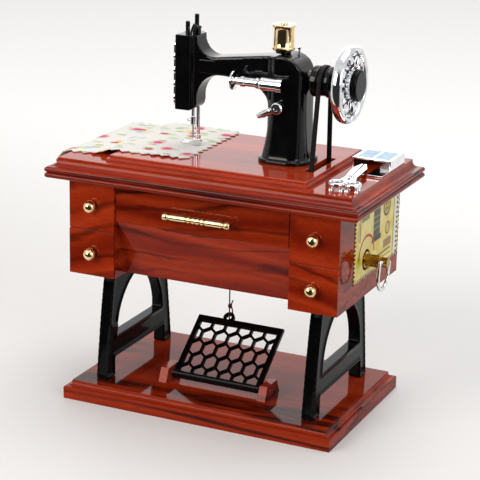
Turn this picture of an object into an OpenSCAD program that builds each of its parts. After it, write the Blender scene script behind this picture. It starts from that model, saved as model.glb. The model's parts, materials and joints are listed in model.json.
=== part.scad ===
// Treadle sewing machine music box. A wound spring in the cabinet turns the tune cylinder, a belt turns the
// hand wheel on the arm, and a crank in the cabinet lifts the treadle by a cord.
// Millimetres, +Z up, origin at the centre of the underside. X runs along the table, Y runs to the back.

/* [Base] */
// Width of the base plinth
base_w = 150; // [140:1:170]
// Depth of the base plinth
base_d = 95.4; // [88:0.2:105]
// Height of the base plinth
base_h = 9.6; // [8.6:0.2:14]
// Height of the plinth's upright edge
base_edge_h = 6.6; // [4:0.2:7]
// Inset of the plinth's top face
base_inset = 3.5; // [2:0.5:5]
// Thickness of the cover plate under the plinth
cover_t = 1.6; // [1:0.2:2.4]
// Wall of the hollow red mouldings
wall = 2; // [1.6:0.1:2.4]

/* [Leg frames] */
// Height of the leg frames
leg_h = 58.3; // [54:0.1:70]
// Thickness of a leg frame
leg_t = 7.4; // [6:0.2:9]
// Distance of a leg frame's middle from the centre
leg_x = 58.2; // [54:0.2:62]
// Half depth of a leg frame at its feet
leg_foot_half = 36.7; // [34:0.1:40]
// Half depth of a leg frame at its top
leg_top_half = 27; // [26:0.5:32]
// Depth of one foot
foot_d = 9; // [7:0.5:11]
// Height of the crossbar's lower edge over the foot
bar_low = 10.3; // [8:0.1:14]
// Height of the crossbar
bar_h = 10.9; // [8:0.1:13]
// Half depth of the arch over the crossbar
arch_half = 25.5; // [22:0.5:27]
// Height of the arch
arch_h = 31; // [26:0.5:32]

/* [Cabinet] */
// Width of the cabinet
cabinet_w = 148; // [140:1:156]
// Depth of the cabinet
cabinet_d = 83.2; // [80:0.2:88]
// Height of the cabinet
cabinet_h = 50.1; // [48:0.1:56]
// Width of a drawer pedestal
pedestal_w = 26.2; // [24:0.2:30]
// Thickness of a drawer front
front_t = 1; // [0.8:0.1:1.4]
// Gap between two drawer fronts
front_gap = 0.5; // [0.3:0.1:0.8]
// Height of the lower pedestal drawer
low_drawer_h = 24; // [20:0.5:28]
// Height of the middle drawer
mid_drawer_h = 19.5; // [16:0.5:22]
// How far the middle front stands behind the pedestals
mid_setback = 1; // [0.6:0.1:2]
// How far the apron's lower edge leans back
apron_lean = 11; // [8:0.5:14]
// Height of the apron's lower edge over the cabinet's underside
apron_rise = 3.4; // [2.6:0.2:6]
// Diameter of a drawer knob
knob_d = 6.7; // [5:0.1:8]
// Length of the middle drawer's handle
handle_l = 37; // [30:1:44]

/* [Table] */
// Width of the table top
table_w = 169.8; // [162:0.2:184]
// Depth of the table top
table_d = 95.4; // [92:0.2:106]
// Height of the table top
table_h = 10.3; // [9.6:0.1:13]
// Inset of the table's top face
table_inset = 5.2; // [4.6:0.1:6.5]
// Width of the raised bed
bed_w = 109.8; // [106:0.2:118]
// Depth of the raised bed
bed_d = 76; // [70:0.5:80]
// Height of the raised bed
bed_h = 3; // [2.4:0.1:4]
// Width of the belt slot
slot_w = 5; // [4.6:0.1:6]

/* [Machine arm] */
// Height of the arm shaft over the bed
axis_h = 41.4; // [40:0.1:46]
// Height of the head's top over the bed
head_top_h = 58.8; // [57:0.1:66]
// Height of the head's underside over the bed
head_low_h = 20.4; // [17:0.1:22]
// Left face of the head
head_x = -31.4; // [-33:0.1:-31]
// Width of the head
head_w = 10.9; // [10.6:0.1:13]
// Half depth of the head
head_half = 8.5; // [8:0.1:11]
// Half depth of the arm
arm_half = 7.6; // [6.5:0.1:8]
// Right face of the pillar
pillar_right = 39.1; // [38.6:0.1:40]
// Width of the pillar under the arm
pillar_w = 19.6; // [18:0.1:20.4]
// Half depth of the pillar
pillar_half = 10; // [8.5:0.1:11]
// Radius of the shoulder over the pillar
shoulder_r = 12.6; // [11:0.1:13.4]

/* [Wheel and belt] */
// Diameter of the hand wheel
wheel_d = 40.4; // [36:0.2:46]
// Width of the hand wheel's rim
wheel_rim_w = 5.6; // [4:0.2:7]
// Left face of the hand wheel
wheel_x = 57; // [55.5:0.1:60]
// Diameter of the wheel's black cap
cap_d = 16; // [13:0.5:19]
// Diameter of the arm shaft
shaft_d = 3; // [2.4:0.1:3.6]
// Diameter of the belt seat on the upper pulley
upper_seat_d = 14.2; // [12:0.1:16]
// Diameter of the belt seat on the lower pulley
lower_seat_d = 29; // [24:0.1:29.4]
// Middle of the belt along X
belt_x = 47; // [46.9:0.1:47.2]
// Width of the belt
belt_w = 2.4; // [2:0.1:3.2]
// Thickness of the belt
belt_t = 1.2; // [1:0.1:1.6]

/* [Treadle] */
// Width of the treadle plate
treadle_w = 49.4; // [46:0.2:50]
// Length of the treadle plate
treadle_l = 39.6; // [36:0.2:41]
// Thickness of the treadle plate
treadle_t = 2; // [1.6:0.1:2.4]
// Slope of the treadle at rest, in degrees
treadle_slope = 37; // [33:0.5:40]
// Width of the treadle's border
treadle_border = 2.6; // [2.2:0.1:4]
// Cells across the treadle
cell_count = 6; // [4:1:8]
// Rib between two cells
cell_rib = 1.3; // [0.9:0.1:1.8]
// Diameter of the treadle rod
rod_d = 1.6; // [1.2:0.1:2]
// Lift of the treadle crank
crank_throw = 4.7; // [4.4:0.1:5]

/* [Movement] */
// Height of the winding stem over the cabinet's underside
stem_h = 19.1; // [19:0.1:21]
// Place of the winding stem along Y
stem_y = -5.3; // [-7:0.1:-4]
// Diameter of the winding stem
stem_d = 3.6; // [3:0.1:4.2]
// Length of the winding stem outside the cabinet
stem_out = 12; // [10:0.5:15]
// Diameter of the keyhole
keyhole_d = 6.8; // [5.6:0.1:8]
// Teeth of the spring barrel
barrel_teeth = 56; // [52:4:56]
// Teeth of the cylinder's pinion
pinion_teeth = 16; // [16:4:20]
// Module of the spring barrel's gear
barrel_module = 0.5; // [0.48:0.01:0.52]
// Teeth of the cylinder's large gear
train_teeth = 48; // [44:4:48]
// Teeth of the governor's pinion
fly_teeth = 12; // [12:4:16]
// Module of the governor's gear
train_module = 0.4; // [0.38:0.01:0.42]
// Diameter of the tune cylinder
cylinder_d = 13; // [11:0.2:13.2]
// Teeth of the comb
comb_teeth = 18; // [12:1:20]
// Thickness of a movement plate
plate_t = 1.5; // [1.2:0.1:1.8]

/* [Key] */
// Thickness of the key's wire
wire_d = 1.8; // [1.4:0.1:2.2]
// Half width of the key's loop, to the middle of the wire
loop_half = 7; // [6:0.2:8]
// Straight length of the key's loop
loop_side = 6.5; // [4:0.2:8]
// Lean of the hanging key, in degrees
key_lean = 14; // [0:1:25]

/* [Spool] */
// Height of the gold thread spool
spool_h = 13.4; // [11:0.2:16]
// Diameter of the spool's flanges
spool_d = 12.2; // [10:0.2:14]

/* [Table goods] */
// Width of the open sewing box
box_w = 20.6; // [17:0.2:21]
// Depth of the open sewing box
box_d = 20.6; // [16:0.2:24]
// Height of the open sewing box
box_h = 5.6; // [5.4:0.1:7]
// Sheet of the sewing box
box_sheet = 0.9; // [0.6:0.1:1.2]
// Length of the scissors
scissors_l = 42; // [36:0.5:44]

/* [Hidden] */
$fn = 48;

red = "#8c2814";
black = "#141416";
chrome = "#c8ccd0";
gold = "#d9a93a";
brass = "#b08d3c";
steel = "#8d9196";

// Running clearance of a shaft, gap between pieces that pass each other, and depth of a seat
run = 0.05;
gap = 0.4;
seat = 2;
eps = 0.01;

// Heights of the stacked pieces
z_cab = base_h + leg_h;
z_floor = z_cab + wall;
z_table = z_cab + cabinet_h;
z_top = z_table + table_h;
z_bed = z_top + bed_h;
z_axis = z_bed + axis_h;
z_head = z_bed + head_top_h;
z_low = z_bed + head_low_h;

side_x = cabinet_w / 2;
inner_x = side_x - wall;
cab_y = cabinet_d / 2;
mid_half = side_x - pedestal_w;
mid_y = -cab_y + front_t + mid_setback;
apron_top = z_table - mid_drawer_h;
screw_r = 1.1;
screw_head_r = 2;
screw_head_h = 0.9;

// Draws its children on a plane across X, at point p of Y and Z
module across_x(x, p) translate([x, p[0], p[1]]) rotate([90, 0, 90]) children();
module x_rod(x0, x1, p, r) across_x(x0, p) cylinder(h = x1 - x0, r = r);

// Points of an arc
function arc(c, r, a0, a1, n = 8) = [for (i = [0 : n]) let (a = a0 + (a1 - a0) * i / n)
    c + r * [cos(a), sin(a)]];

// A board whose four edges follow one profile of [inset, height] points, mitred at its corners
module moulded(w, d, profile) {
    function outline(half) = concat([for (p = profile) [half - p[0], p[1]]],
        [for (i = [len(profile) - 1 : -1 : 0]) [profile[i][0] - half, profile[i][1]]]);
    intersection() {
        rotate([90, 0, 0]) linear_extrude(d, center = true) polygon(outline(w / 2));
        rotate([90, 0, 90]) linear_extrude(w, center = true) polygon(outline(d / 2));
    }
}

module rounded_plate(w, d, h, r) linear_extrude(h) rounded(w, d, r);
module rounded(w, d, r) {
    square([w - 2 * r, d], center = true);
    square([w, d - 2 * r], center = true);
    for (x = [-1, 1], y = [-1, 1]) translate([x * (w / 2 - r), y * (d / 2 - r)]) circle(r);
}

module screw(l) {
    cylinder(h = screw_head_h, r = screw_head_r, $fn = 24);
    cylinder(h = l, r = screw_r, $fn = 24);
}
module screw_hole(l) translate([0, 0, -eps]) cylinder(h = l + eps, r = screw_r, $fn = 24);

// Base

base_profile = concat([[0, 0], [0, base_edge_h - 0.5], [0.5, base_edge_h], [1.2, base_edge_h]],
    [for (t = [0 : 15 : 90]) [1.2 + (base_inset - 1.2) * sin(t),
    base_h - 0.6 - (base_h - 0.6 - base_edge_h) * cos(t)]],
    [[base_inset, base_h]]);
cover_inset = base_inset + wall;
cover_screw = [base_w / 2 - cover_inset - 6, base_d / 2 - cover_inset - 6];
foot_y = leg_foot_half - foot_d / 2;
foot_screw_l = 9;
cover_screw_bite = 5;

module cover_screw_places() for (x = [-1, 1], y = [-1, 1])
    translate([x * cover_screw[0], y * cover_screw[1], 0]) children();
module foot_places() for (x = [-1, 1], y = [-1, 1]) translate([x * leg_x, y * foot_y, 0]) children();

module base_plinth() color(red) difference() {
    moulded(base_w, base_d, base_profile);
    difference() {
        translate([0, 0, -eps]) rounded_plate(base_w - 2 * cover_inset, base_d - 2 * cover_inset,
            base_h - wall + eps, 3);
        cover_screw_places() translate([0, 0, cover_t]) cylinder(h = base_h, r = 3);
    }
    cover_screw_places() screw_hole(cover_t + cover_screw_bite);
    foot_places() translate([0, 0, base_h - wall]) screw_hole(wall + 1);
}

module base_cover() color(black) difference() {
    rounded_plate(base_w - 2 * cover_inset - gap, base_d - 2 * cover_inset - gap, cover_t, 3);
    cover_screw_places() {
        screw_hole(cover_t + 1);
        translate([0, 0, -eps]) cylinder(h = screw_head_h + eps, r = screw_head_r, $fn = 24);
    }
}

module base_screws() color(steel) cover_screw_places() screw(cover_t + cover_screw_bite);

// Leg frames

arch_r = (arch_half * arch_half + arch_h * arch_h) / (2 * arch_half);
function leg_half(z) = leg_top_half + (leg_foot_half - leg_top_half) * pow(1 - z / leg_h, 0.75);

module leg_outline() difference() {
    polygon(concat([for (i = [0 : 8]) [leg_half(leg_h * i / 8), leg_h * i / 8]],
        [for (i = [8 : -1 : 0]) [-leg_half(leg_h * i / 8), leg_h * i / 8]]));
    translate([0, bar_low + bar_h]) intersection() {
        translate([arch_r - arch_half, 0]) circle(arch_r, $fn = 96);
        translate([arch_half - arch_r, 0]) circle(arch_r, $fn = 96);
        translate([-arch_half, 0]) square([2 * arch_half, arch_h + 1]);
    }
    translate([foot_d - leg_foot_half, -1]) square([2 * (leg_foot_half - foot_d), bar_low + 1]);
}

module leg_frame(x) color(black) difference() {
    across_x(x - leg_t / 2, [0, base_h]) linear_extrude(leg_t) leg_outline();
    for (y = [-1, 1]) translate([x, y * foot_y, base_h]) screw_hole(foot_screw_l - wall);
    for (y = [-1, 1]) translate([x, y * leg_screw_y, z_cab]) mirror([0, 0, 1])
        screw_hole(foot_screw_l - wall);
}
leg_screw_y = leg_top_half - 6;
module left_leg_frame() leg_frame(-leg_x);
module right_leg_frame() leg_frame(leg_x);

module leg_screws() color(steel) {
    foot_places() translate([0, 0, base_h - wall - screw_head_h]) screw(foot_screw_l + screw_head_h);
    for (x = [-1, 1], y = [-1, 1]) translate([x * leg_x, y * leg_screw_y, z_floor + screw_head_h])
        mirror([0, 0, 1])
        screw(foot_screw_l + screw_head_h);
}

// Treadle

pivot = [-19, base_h + 4];
hub_r = rod_d / 2 + 0.7;
front_u = -2.5;
back_u = front_u + treadle_l;
eye = [-7.8, back_u + 1.5];
eye_r = 3.1;
eye_hole_r = 1.6;
eye_y = pivot[0] + eye[1] * cos(treadle_slope);
bracket_w = 4.5;
bracket_gap = 1.3;
bracket_h = 7.2;
bracket_x = treadle_w / 2 + bracket_gap;
bracket_front = -6.9;
bracket_back = 11.5;
bracket_slope = 3.3;

module treadle_bracket() color(red) difference() {
    across_x(bracket_x, [pivot[0], base_h]) linear_extrude(bracket_w) difference() {
        polygon([[bracket_front, 0], [bracket_back, 0], [bracket_back - bracket_slope, bracket_h],
            [bracket_front + bracket_slope, bracket_h]]);
        translate([0, pivot[1] - base_h]) circle(rod_d / 2 + run);
    }
}
module left_treadle_bracket() mirror([1, 0, 0]) treadle_bracket();
module right_treadle_bracket() treadle_bracket();

cell_w = (treadle_w - 2 * treadle_border + cell_rib) / cell_count;
cell_row = cell_w * 1.02;
function cell(w, h) = [[0, h / 2], [w / 2, h / 4], [w / 2, -h / 4], [0, -h / 2], [-w / 2, -h / 4],
    [-w / 2, h / 4]];

module treadle_cells() intersection() {
    translate([treadle_border - treadle_w / 2, front_u + treadle_border + 0.8])
        square([treadle_w - 2 * treadle_border, treadle_l - 2 * treadle_border - 1.6]);
    union() for (row = [-2 : 2], i = [0 : cell_count])
        translate([(i - cell_count / 2 + (row % 2 == 0 ? 0.5 : 0)) * cell_w,
            (front_u + back_u) / 2 + row * cell_row])
            polygon(cell(cell_w - cell_rib, cell_row * 4 / 3 - cell_rib));
}

module treadle() color(black) translate([0, pivot[0], pivot[1]]) rotate([treadle_slope, 0, 0])
    difference() {
    union() {
        translate([0, 0, -treadle_t / 2]) linear_extrude(treadle_t) difference() {
            union() {
                translate([-treadle_w / 2, front_u]) square([treadle_w, treadle_l]);
                translate(eye) circle(eye_r);
            }
            treadle_cells();
            translate(eye) circle(eye_hole_r);
        }
        x_rod(-treadle_w / 2, treadle_w / 2, [0, 0], hub_r);
    }
    x_rod(-treadle_w / 2 - 1, treadle_w / 2 + 1, [0, 0], rod_d / 2);
}

module treadle_rod() color(steel) x_rod(-bracket_x - bracket_w, bracket_x + bracket_w, pivot, rod_d / 2);

// A thin cord from the crank in the cabinet, down through the treadle's eye and back up to its knot
cord_d = 0.7;
cord_route = [[-7.8, 11.8, 100.9], [-7.8, 11.8, 92], [-7.8, 11.8, 84], [-7.8, 11.8, 76], [-7.8, 11.8, 68],
    [-7.8, 11.8, 60], [-7.8, 11.8, 52], [-7.8, 11.8, 46], [-7.8, 11.8, 42], [-7.8, 11.8, 39],
    [-7.8, 11.8, 36],
    [-7.8, 12, 34.6], [-7.8, 12.8, 33.8], [-7.8, 14, 34.4], [-7.8, 15.2, 36], [-7.8, 15.8, 38],
    [-7.7, 15.4, 40],
    [-7.6, 14.4, 41.6], [-7.5, 13.3, 43], [-7.2, 13.1, 44.6], [-6.6, 13.6, 46.4]];

function unit(v) = v / norm(v);
// Rings of a tube along a route that stays near the Y and Z plane
function tube_points(route, r, sides) = [for (i = [0 : len(route) - 1])
    let (t = unit(route[min(i + 1, len(route) - 1)] - route[max(i - 1, 0)]),
        s = unit(cross(t, [1, 0, 0])), u = cross(s, t))
    for (k = [0 : sides - 1]) route[i] + r * (s * cos(360 * k / sides) + u * sin(360 * k / sides))];
function tube_faces(rings, sides) = concat(
    [for (i = [0 : rings - 2], k = [0 : sides - 1])
    let (a = i * sides + k, b = i * sides + (k + 1) % sides)
        each [[a, b, a + sides], [b, b + sides, a + sides]]],
    [for (k = [1 : sides - 2]) [0, k + 1, k]],
    [for (k = [1 : sides - 2]) let (e = (rings - 1) * sides) [e, e + k, e + k + 1]]);
module tube(route, d, sides = 8) polyhedron(tube_points(route, d / 2, sides),
    tube_faces(len(route), sides));

module treadle_cord() color("#5a1a1e") tube(cord_route, cord_d);

// Cabinet

floor_y = mid_y + apron_lean;
module cabinet_plan(inset) {
    for (s = [-1, 1]) translate([s * (side_x - pedestal_w / 2), front_t / 2])
        square([pedestal_w - 2 * inset, cabinet_d - front_t - 2 * inset], center = true);
    translate([-mid_half - pedestal_w / 2, floor_y + inset])
        square([2 * mid_half + pedestal_w, cab_y - floor_y - 2 * inset]);
}
// Side view of the part between the pedestals: upright above, leaning back below
module middle_outline(inset) polygon([[mid_y + inset, apron_top], [mid_y + inset, z_table + 1],
    [cab_y - inset, z_table + 1],
    [cab_y - inset, z_cab - 1], [floor_y + inset, z_cab - 1], [floor_y + inset, z_cab + apron_rise]]);

module middle_block(inset, over) intersection() {
    across_x(-mid_half - over, [0, 0]) linear_extrude(2 * (mid_half + over)) middle_outline(inset);
    translate([-cabinet_w / 2, -cab_y, z_cab - over]) cube([cabinet_w, cabinet_d, cabinet_h + 2 * over]);
}
module pedestals(inset, over) for (s = [-1, 1])
    translate([s * (side_x - pedestal_w / 2), front_t / 2, z_cab + cabinet_h / 2])
        cube([pedestal_w - 2 * inset, cabinet_d - front_t - 2 * inset, cabinet_h + 2 * over],
            center = true);

module cabinet_body() color(red) difference() {
    union() {
        pedestals(0, 0);
        middle_block(0, eps);
    }
    pedestals(wall, 1);
    middle_block(wall, wall + 1);
    x_rod(inner_x - 1, side_x + 1, stem_at, keyhole_d / 2);
    knob_places() rotate([-90, 0, 0]) cylinder(h = front_t + wall + 1, r = knob_pin_r);
    handle_posts() rotate([-90, 0, 0]) cylinder(h = wall + front_t + 1, r = post_r);
}

// Floor plate, with a stand on it that carries the crank's end of the cylinder arbor
cord_slot = [2.6, 9.6];
crank_stand_x = [eye[0] + 4.6, eye[0] + 6.6];
module cabinet_floor() color(red) difference() {
    union() {
        translate([0, 0, z_cab]) linear_extrude(wall) difference() {
            cabinet_plan(wall + run);
            translate([eye[0] - cord_slot[0] / 2, eye_y - cord_slot[1] / 2]) square(cord_slot);
        }
        across_x(crank_stand_x[0], [cyl_at[0], z_floor - eps])
            linear_extrude(crank_stand_x[1] - crank_stand_x[0])
            polygon([[-9, 0], [9, 0], [4, cyl_at[1] - z_floor + 4], [-4, cyl_at[1] - z_floor + 4]]);
    }
    x_rod(crank_stand_x[0] - 1, crank_stand_x[1] + 1, cyl_at, arbor_r + run);
    for (x = [-1, 1], y = [-1, 1]) translate([x * leg_x, y * leg_screw_y, z_cab]) screw_hole(wall + 1);
}

// Drawer fronts

upper_setback = 0.4;
module drawer_panel(x0, x1, y, z0, z1, t) color(red) translate([x0, y, z0]) cube([x1 - x0, t, z1 - z0]);
split_z = z_cab + low_drawer_h;
module pedestal_front(s, z0, z1, back) drawer_panel(min(s * (mid_half + front_gap), s * (side_x - eps)),
    max(s * (mid_half + front_gap), s * (side_x - eps)), back - cab_y, z0, z1, front_t - back);
module pierced_front(s, z0, z1, knob_z, back = 0) difference() {
    pedestal_front(s, z0, z1, back);
    translate([s * knob_x, -cab_y - eps, knob_z]) rotate([-90, 0, 0])
        cylinder(h = front_t + 1, r = knob_pin_r);
}
module left_upper_drawer_front() color(red) pierced_front(-1, split_z + front_gap / 2, z_table - eps,
    knob_high, upper_setback);
module left_lower_drawer_front() color(red) pierced_front(-1, z_cab, split_z - front_gap / 2, knob_low);
module right_upper_drawer_front() color(red) pierced_front(1, split_z + front_gap / 2, z_table - eps,
    knob_high, upper_setback);
module right_lower_drawer_front() color(red) pierced_front(1, z_cab, split_z - front_gap / 2, knob_low);
module middle_drawer_front() color(red) difference() {
    drawer_panel(front_gap - mid_half, mid_half - front_gap, mid_y - front_t, apron_top, z_table - eps,
        front_t);
    handle_posts() rotate([-90, 0, 0]) cylinder(h = front_t + 1, r = post_r);
}

knob_x = side_x - pedestal_w / 2;
knob_low = z_cab + low_drawer_h / 2;
knob_high = (split_z + z_table) / 2;
knob_pin_r = 0.9;
module knob_places() for (s = [-1, 1], p = [[knob_low, 0], [knob_high, upper_setback]])
    translate([s * knob_x, p[1] - cab_y, p[0]]) children();
module drawer_knobs() color(gold) knob_places() rotate([90, 0, 0]) {
    rotate_extrude() polygon(concat([[0, 0], [knob_d * 0.3, 0], [knob_d * 0.3, 0.5],
        [knob_d * 0.22, 0.9]],
        arc([0, knob_d * 0.32], knob_d / 2, -25, 90, 10)));
    mirror([0, 0, 1]) cylinder(h = front_t + wall - 0.5, r = knob_pin_r);
}

handle_y = -cab_y - 4;
handle_z = z_table - mid_drawer_h * 0.58;
handle_r = 1.4;
post_r = 0.7;
post_x = handle_l * 0.26;
module handle_posts() for (s = [-1, 1]) translate([s * post_x, mid_y - front_t - eps, handle_z])
    children();
// Half of the turned bar, as [radius, distance from its middle]: beads, a plain grip and an end bead
bead_l = handle_l * 0.06;
handle_half = concat([for (i = [0 : 1], q = [[1, 0.2], [1, 0.65], [0.68, 1]])
    [handle_r * q[0], (i + q[1]) * bead_l]],
    [[handle_r, bead_l * 2.3], [handle_r, handle_l * 0.4], [handle_r * 0.68, handle_l * 0.415],
    [handle_r * 0.68, handle_l * 0.43],
    [handle_r, handle_l * 0.45], [handle_r, handle_l * 0.475], [handle_r * 0.6, handle_l * 0.5],
    [0, handle_l * 0.5]]);
module drawer_handle() color(gold) {
    across_x(0, [handle_y, handle_z]) rotate_extrude()
        polygon(concat([for (i = [len(handle_half) - 1 : -1 : 0])
            [handle_half[i][0], -handle_half[i][1]]], handle_half));
    for (s = [-1, 1]) translate([s * post_x, handle_y, handle_z]) rotate([-90, 0, 0])
        cylinder(h = mid_y + wall - handle_y, r = post_r);
}

// Table top and raised bed

bead_r = 1.45;
table_profile = concat([[2.6, 0]], [for (t = [-90 : 22.5 : 90])
    [bead_r - bead_r * cos(t), bead_r + bead_r * sin(t)]],
    [for (t = [-70 : 20 : 90]) [bead_r - bead_r * cos(t), 3 * bead_r + bead_r * sin(t)]],
    [for (t = [0 : 11.25 : 90]) [1.9 + (table_inset - 1.9) * sin(t),
    table_h - 0.8 - (table_h - 0.8 - 4 * bead_r) * cos(t)]],
    [[table_inset, table_h]]);
slot_y = [stem_y * 0.5 - 15.5, stem_y * 0.5 + 15.5];
module belt_slot(z0, h) translate([belt_x - slot_w / 2, slot_y[0], z0])
    cube([slot_w, slot_y[1] - slot_y[0], h]);

module table_top() color(red) difference() {
    translate([0, 0, z_table]) moulded(table_w, table_d, table_profile);
    translate([0, 0, z_table - eps]) rounded_plate(2 * inner_x - 2, 2 * (cab_y - wall) - 8,
        table_h - wall - 0.5, 2);
    belt_slot(z_table - 1, table_h + 2);
}

bed_step = 1.2;
bed_y = 0.7;
module machine_bed() color(red) difference() {
    translate([0, bed_y, z_top]) moulded(bed_w, bed_d,
        [[0, 0], [0, bed_h * 0.45], [bed_step, bed_h * 0.45], [bed_step, bed_h - 0.3],
        [bed_step + 0.3, bed_h]]);
    belt_slot(z_top - 1, bed_h + 2);
}

// Fabric: a square of cloth over the bed, the table and its left end

cloth_t = 0.5;
cloth_y = [-27, 40];
cloth_spread = 5;
cloth_columns = 22;
cloth_wave = 0.9;
pink = 0.7;
edge_x = -bed_w / 2;
nose_x = -table_w / 2;
cloth_lift = 0.15;
cloth_path = [[-14.6, z_bed + cloth_lift], [-24, z_bed + cloth_lift], [-34, z_bed + cloth_lift],
    [-45, z_bed + cloth_lift],
    [edge_x - 0.6, z_bed + cloth_lift], [edge_x - 4, z_bed - bed_h * 0.3],
    [edge_x - 9, z_top + cloth_lift + 0.3],
    [nose_x + 11, z_top + cloth_lift], [nose_x + table_inset - 0.3, z_top + cloth_lift],
    [nose_x + 1.6, z_top - 0.7],
    [nose_x - 0.5, z_top - 2.9], [nose_x - 1.2, z_top - 6.5], [nose_x - 2, z_top - 10.4],
    [nose_x - 3.4, z_top - 14.4]];
cloth_rows = 2 * (len(cloth_path) - 1);
function path_at(s) = let (i = min(floor(s), len(cloth_path) - 2))
    cloth_path[i] + (s - i) * (cloth_path[i + 1] - cloth_path[i]);
function path_normal(s) = let (d = path_at(min(s + 0.5, len(cloth_path) - 1)) - path_at(max(s - 0.5, 0)))
    unit([d[1], -d[0]]);
function zigzag(i) = (i % 2 == 0 ? -1 : 1) * pink;
function cloth_point(i, j, lift) = let (s = i / 2, p = path_at(s), n = path_normal(s),
    hang = max(0, s - 10) / 3,
        wide = cloth_spread * i / cloth_rows,
        v = cloth_y[0] - wide + (cloth_y[1] - cloth_y[0] + 2 * wide) * j / cloth_columns,
        along = (i == 0 || i == cloth_rows) ? zigzag(j) * (i == 0 ? 1 : -1) : 0,
        y = v + ((j == 0 || j == cloth_columns) ? zigzag(i) : 0),
        q = p + lift * n + along * [n[1], -n[0]])
    [q[0] - cloth_wave * hang * (1 + sin(v * 9)), y, q[1]];
module fabric() color("#efe9e2") {
    m = cloth_columns + 1;
    layer = (cloth_rows + 1) * m;
    rim = concat([for (j = [0 : cloth_columns - 1]) j],
        [for (i = [0 : cloth_rows - 1]) i * m + cloth_columns],
        [for (j = [cloth_columns : -1 : 1]) cloth_rows * m + j], [for (i = [cloth_rows : -1 : 1]) i * m]);
    polyhedron([for (lift = [0, cloth_t], i = [0 : cloth_rows], j = [0 : cloth_columns])
        cloth_point(i, j, lift)], concat(
        [for (i = [0 : cloth_rows - 1], j = [0 : cloth_columns - 1]) let (a = i * m + j)
        each [[a, a + 1, a + m], [a + 1, a + m + 1, a + m]]],
        [for (i = [0 : cloth_rows - 1], j = [0 : cloth_columns - 1]) let (a = layer + i * m + j)
        each [[a, a + m, a + 1], [a + 1, a + m, a + m + 1]]],
        [for (k = [0 : len(rim) - 1]) let (a = rim[k], b = rim[(k + 1) % len(rim)])
        each [[a, a + layer, b], [b, a + layer, b + layer]]]));
}

// Side label: a thin card with a pinked edge round the keyhole

label_t = 0.3;
label_y = [-22, cab_y - 0.6];
label_z = [z_cab + 10, z_table - 0.4];
pink_step = 1.6;
function pinked(a, b, depth) = let (n = max(2, 2 * round(norm(b - a) / pink_step / 2)),
    out = unit([b[1] - a[1], a[0] - b[0]]))
    [for (i = [0 : n - 1]) a + (b - a) * i / n + out * (i % 2 == 0 ? 0 : -depth)];
module side_label() color("#d8c873") difference() {
    across_x(side_x, [0, 0]) linear_extrude(label_t) polygon(concat(
        pinked([label_y[0], label_z[0]], [label_y[1], label_z[0]], 0.6),
            pinked([label_y[1], label_z[0]], [label_y[1], label_z[1]], 0.6),
        pinked([label_y[1], label_z[1]], [label_y[0], label_z[1]], 0.6),
            pinked([label_y[0], label_z[1]], [label_y[0], label_z[0]], 0.6)));
    x_rod(side_x - 1, side_x + 1, stem_at, keyhole_d / 2);
}

// Scissors and the open sewing box on the table's right end

scissors_at = [71.3, -31, z_top];
scissors_turn = 7;
ring_r = 4.35;
ring_hole_r = 2.6;
ring_x = ring_r - 0.5;
ring_mid = (ring_r + ring_hole_r) / 2;
scissors_t = 1.6;
peg_h = 2.3;
peg_r = 0.6;
waist_y = scissors_l * 0.27;
blade_y = scissors_l * 0.7;
tip_y = scissors_l - ring_r;
module scissors() color(chrome) translate(scissors_at) rotate([0, 0, scissors_turn]) {
    translate([0, 0, peg_h]) linear_extrude(scissors_t) difference() {
        union() {
            for (s = [-1, 1]) translate([s * ring_x, 0]) circle(ring_r);
            polygon([[-4.6, 2.4], [4.6, 2.4], [3, waist_y], [3.7, blade_y], [1.4, tip_y], [-1.4, tip_y],
                [-3.7, blade_y],
                [-3, waist_y]]);
        }
        for (s = [-1, 1]) translate([s * ring_x, 0]) circle(ring_hole_r);
        polygon([[-0.7, 5.8], [0.7, 5.8], [0.5, waist_y - 2], [-0.5, waist_y - 2]]);
        polygon([[-0.2, waist_y + 4.5], [0.2, waist_y + 4.5], [0.35, tip_y + 1], [-0.35, tip_y + 1]]);
    }
    translate([0, waist_y + 1.6, 0]) cylinder(h = peg_h + scissors_t + 0.6, r = 1.2);
    for (s = [-1, 1], a = [45 : 90 : 315]) translate([s * ring_x, 0, 0] + ring_mid * [cos(a), sin(a), 0])
        cylinder(h = peg_h + 0.2, r = peg_r);
}

box_at = [68.6, 21.8];
panel_t = 0.4;
tray_w = box_w * 0.4;
tray_out = 12;
tray_t = 0.7;
panel = [box_w * 0.36, box_d * 0.72];
module panel_places() for (s = [-1, 1])
    translate([box_at[0] + s * box_w * 0.22, box_at[1] - 0.6, z_top + box_h]) children();
module sewing_box() color(chrome) difference() {
    translate([box_at[0] - box_w / 2, box_at[1] - box_d / 2, z_top]) {
        difference() {
            cube([box_w, box_d, box_h]);
            translate([box_sheet, -1, -1])
                cube([box_w - 2 * box_sheet, box_d + 1 - box_sheet, box_h + 1 - box_sheet]);
        }
        translate([box_w - tray_w, -tray_out, 0]) cube([tray_w, tray_out + 2, tray_t]);
    }
    panel_places() translate([0, 0, -panel_t]) linear_extrude(1) square(panel, center = true);
}
module sewing_box_panels() color("#7db9e0") panel_places() translate([0, 0, -panel_t])
    linear_extrude(panel_t) square(panel, center = true);

// Machine arm: head, arm, shoulder and pillar in one moulding

head_right = head_x + head_w;
pillar_left = pillar_right - pillar_w;
pillar_mid = (pillar_left + pillar_right) / 2;
pillar_round = pillar_half * 0.6;
foot_out = 2.8;
foot_shift = 0.9;
arm_root = pillar_half - pillar_round * 0.48;
crown_z = z_axis - 1.9;
arm_top_l = z_axis + 7.2;
arm_top_r = z_axis + 12.1;
sweep_r = 9.2;
throat_l = 12.5;
throat_r = 8.8;
shoulder_at = [pillar_right - shoulder_r, arm_top_r - shoulder_r];

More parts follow.
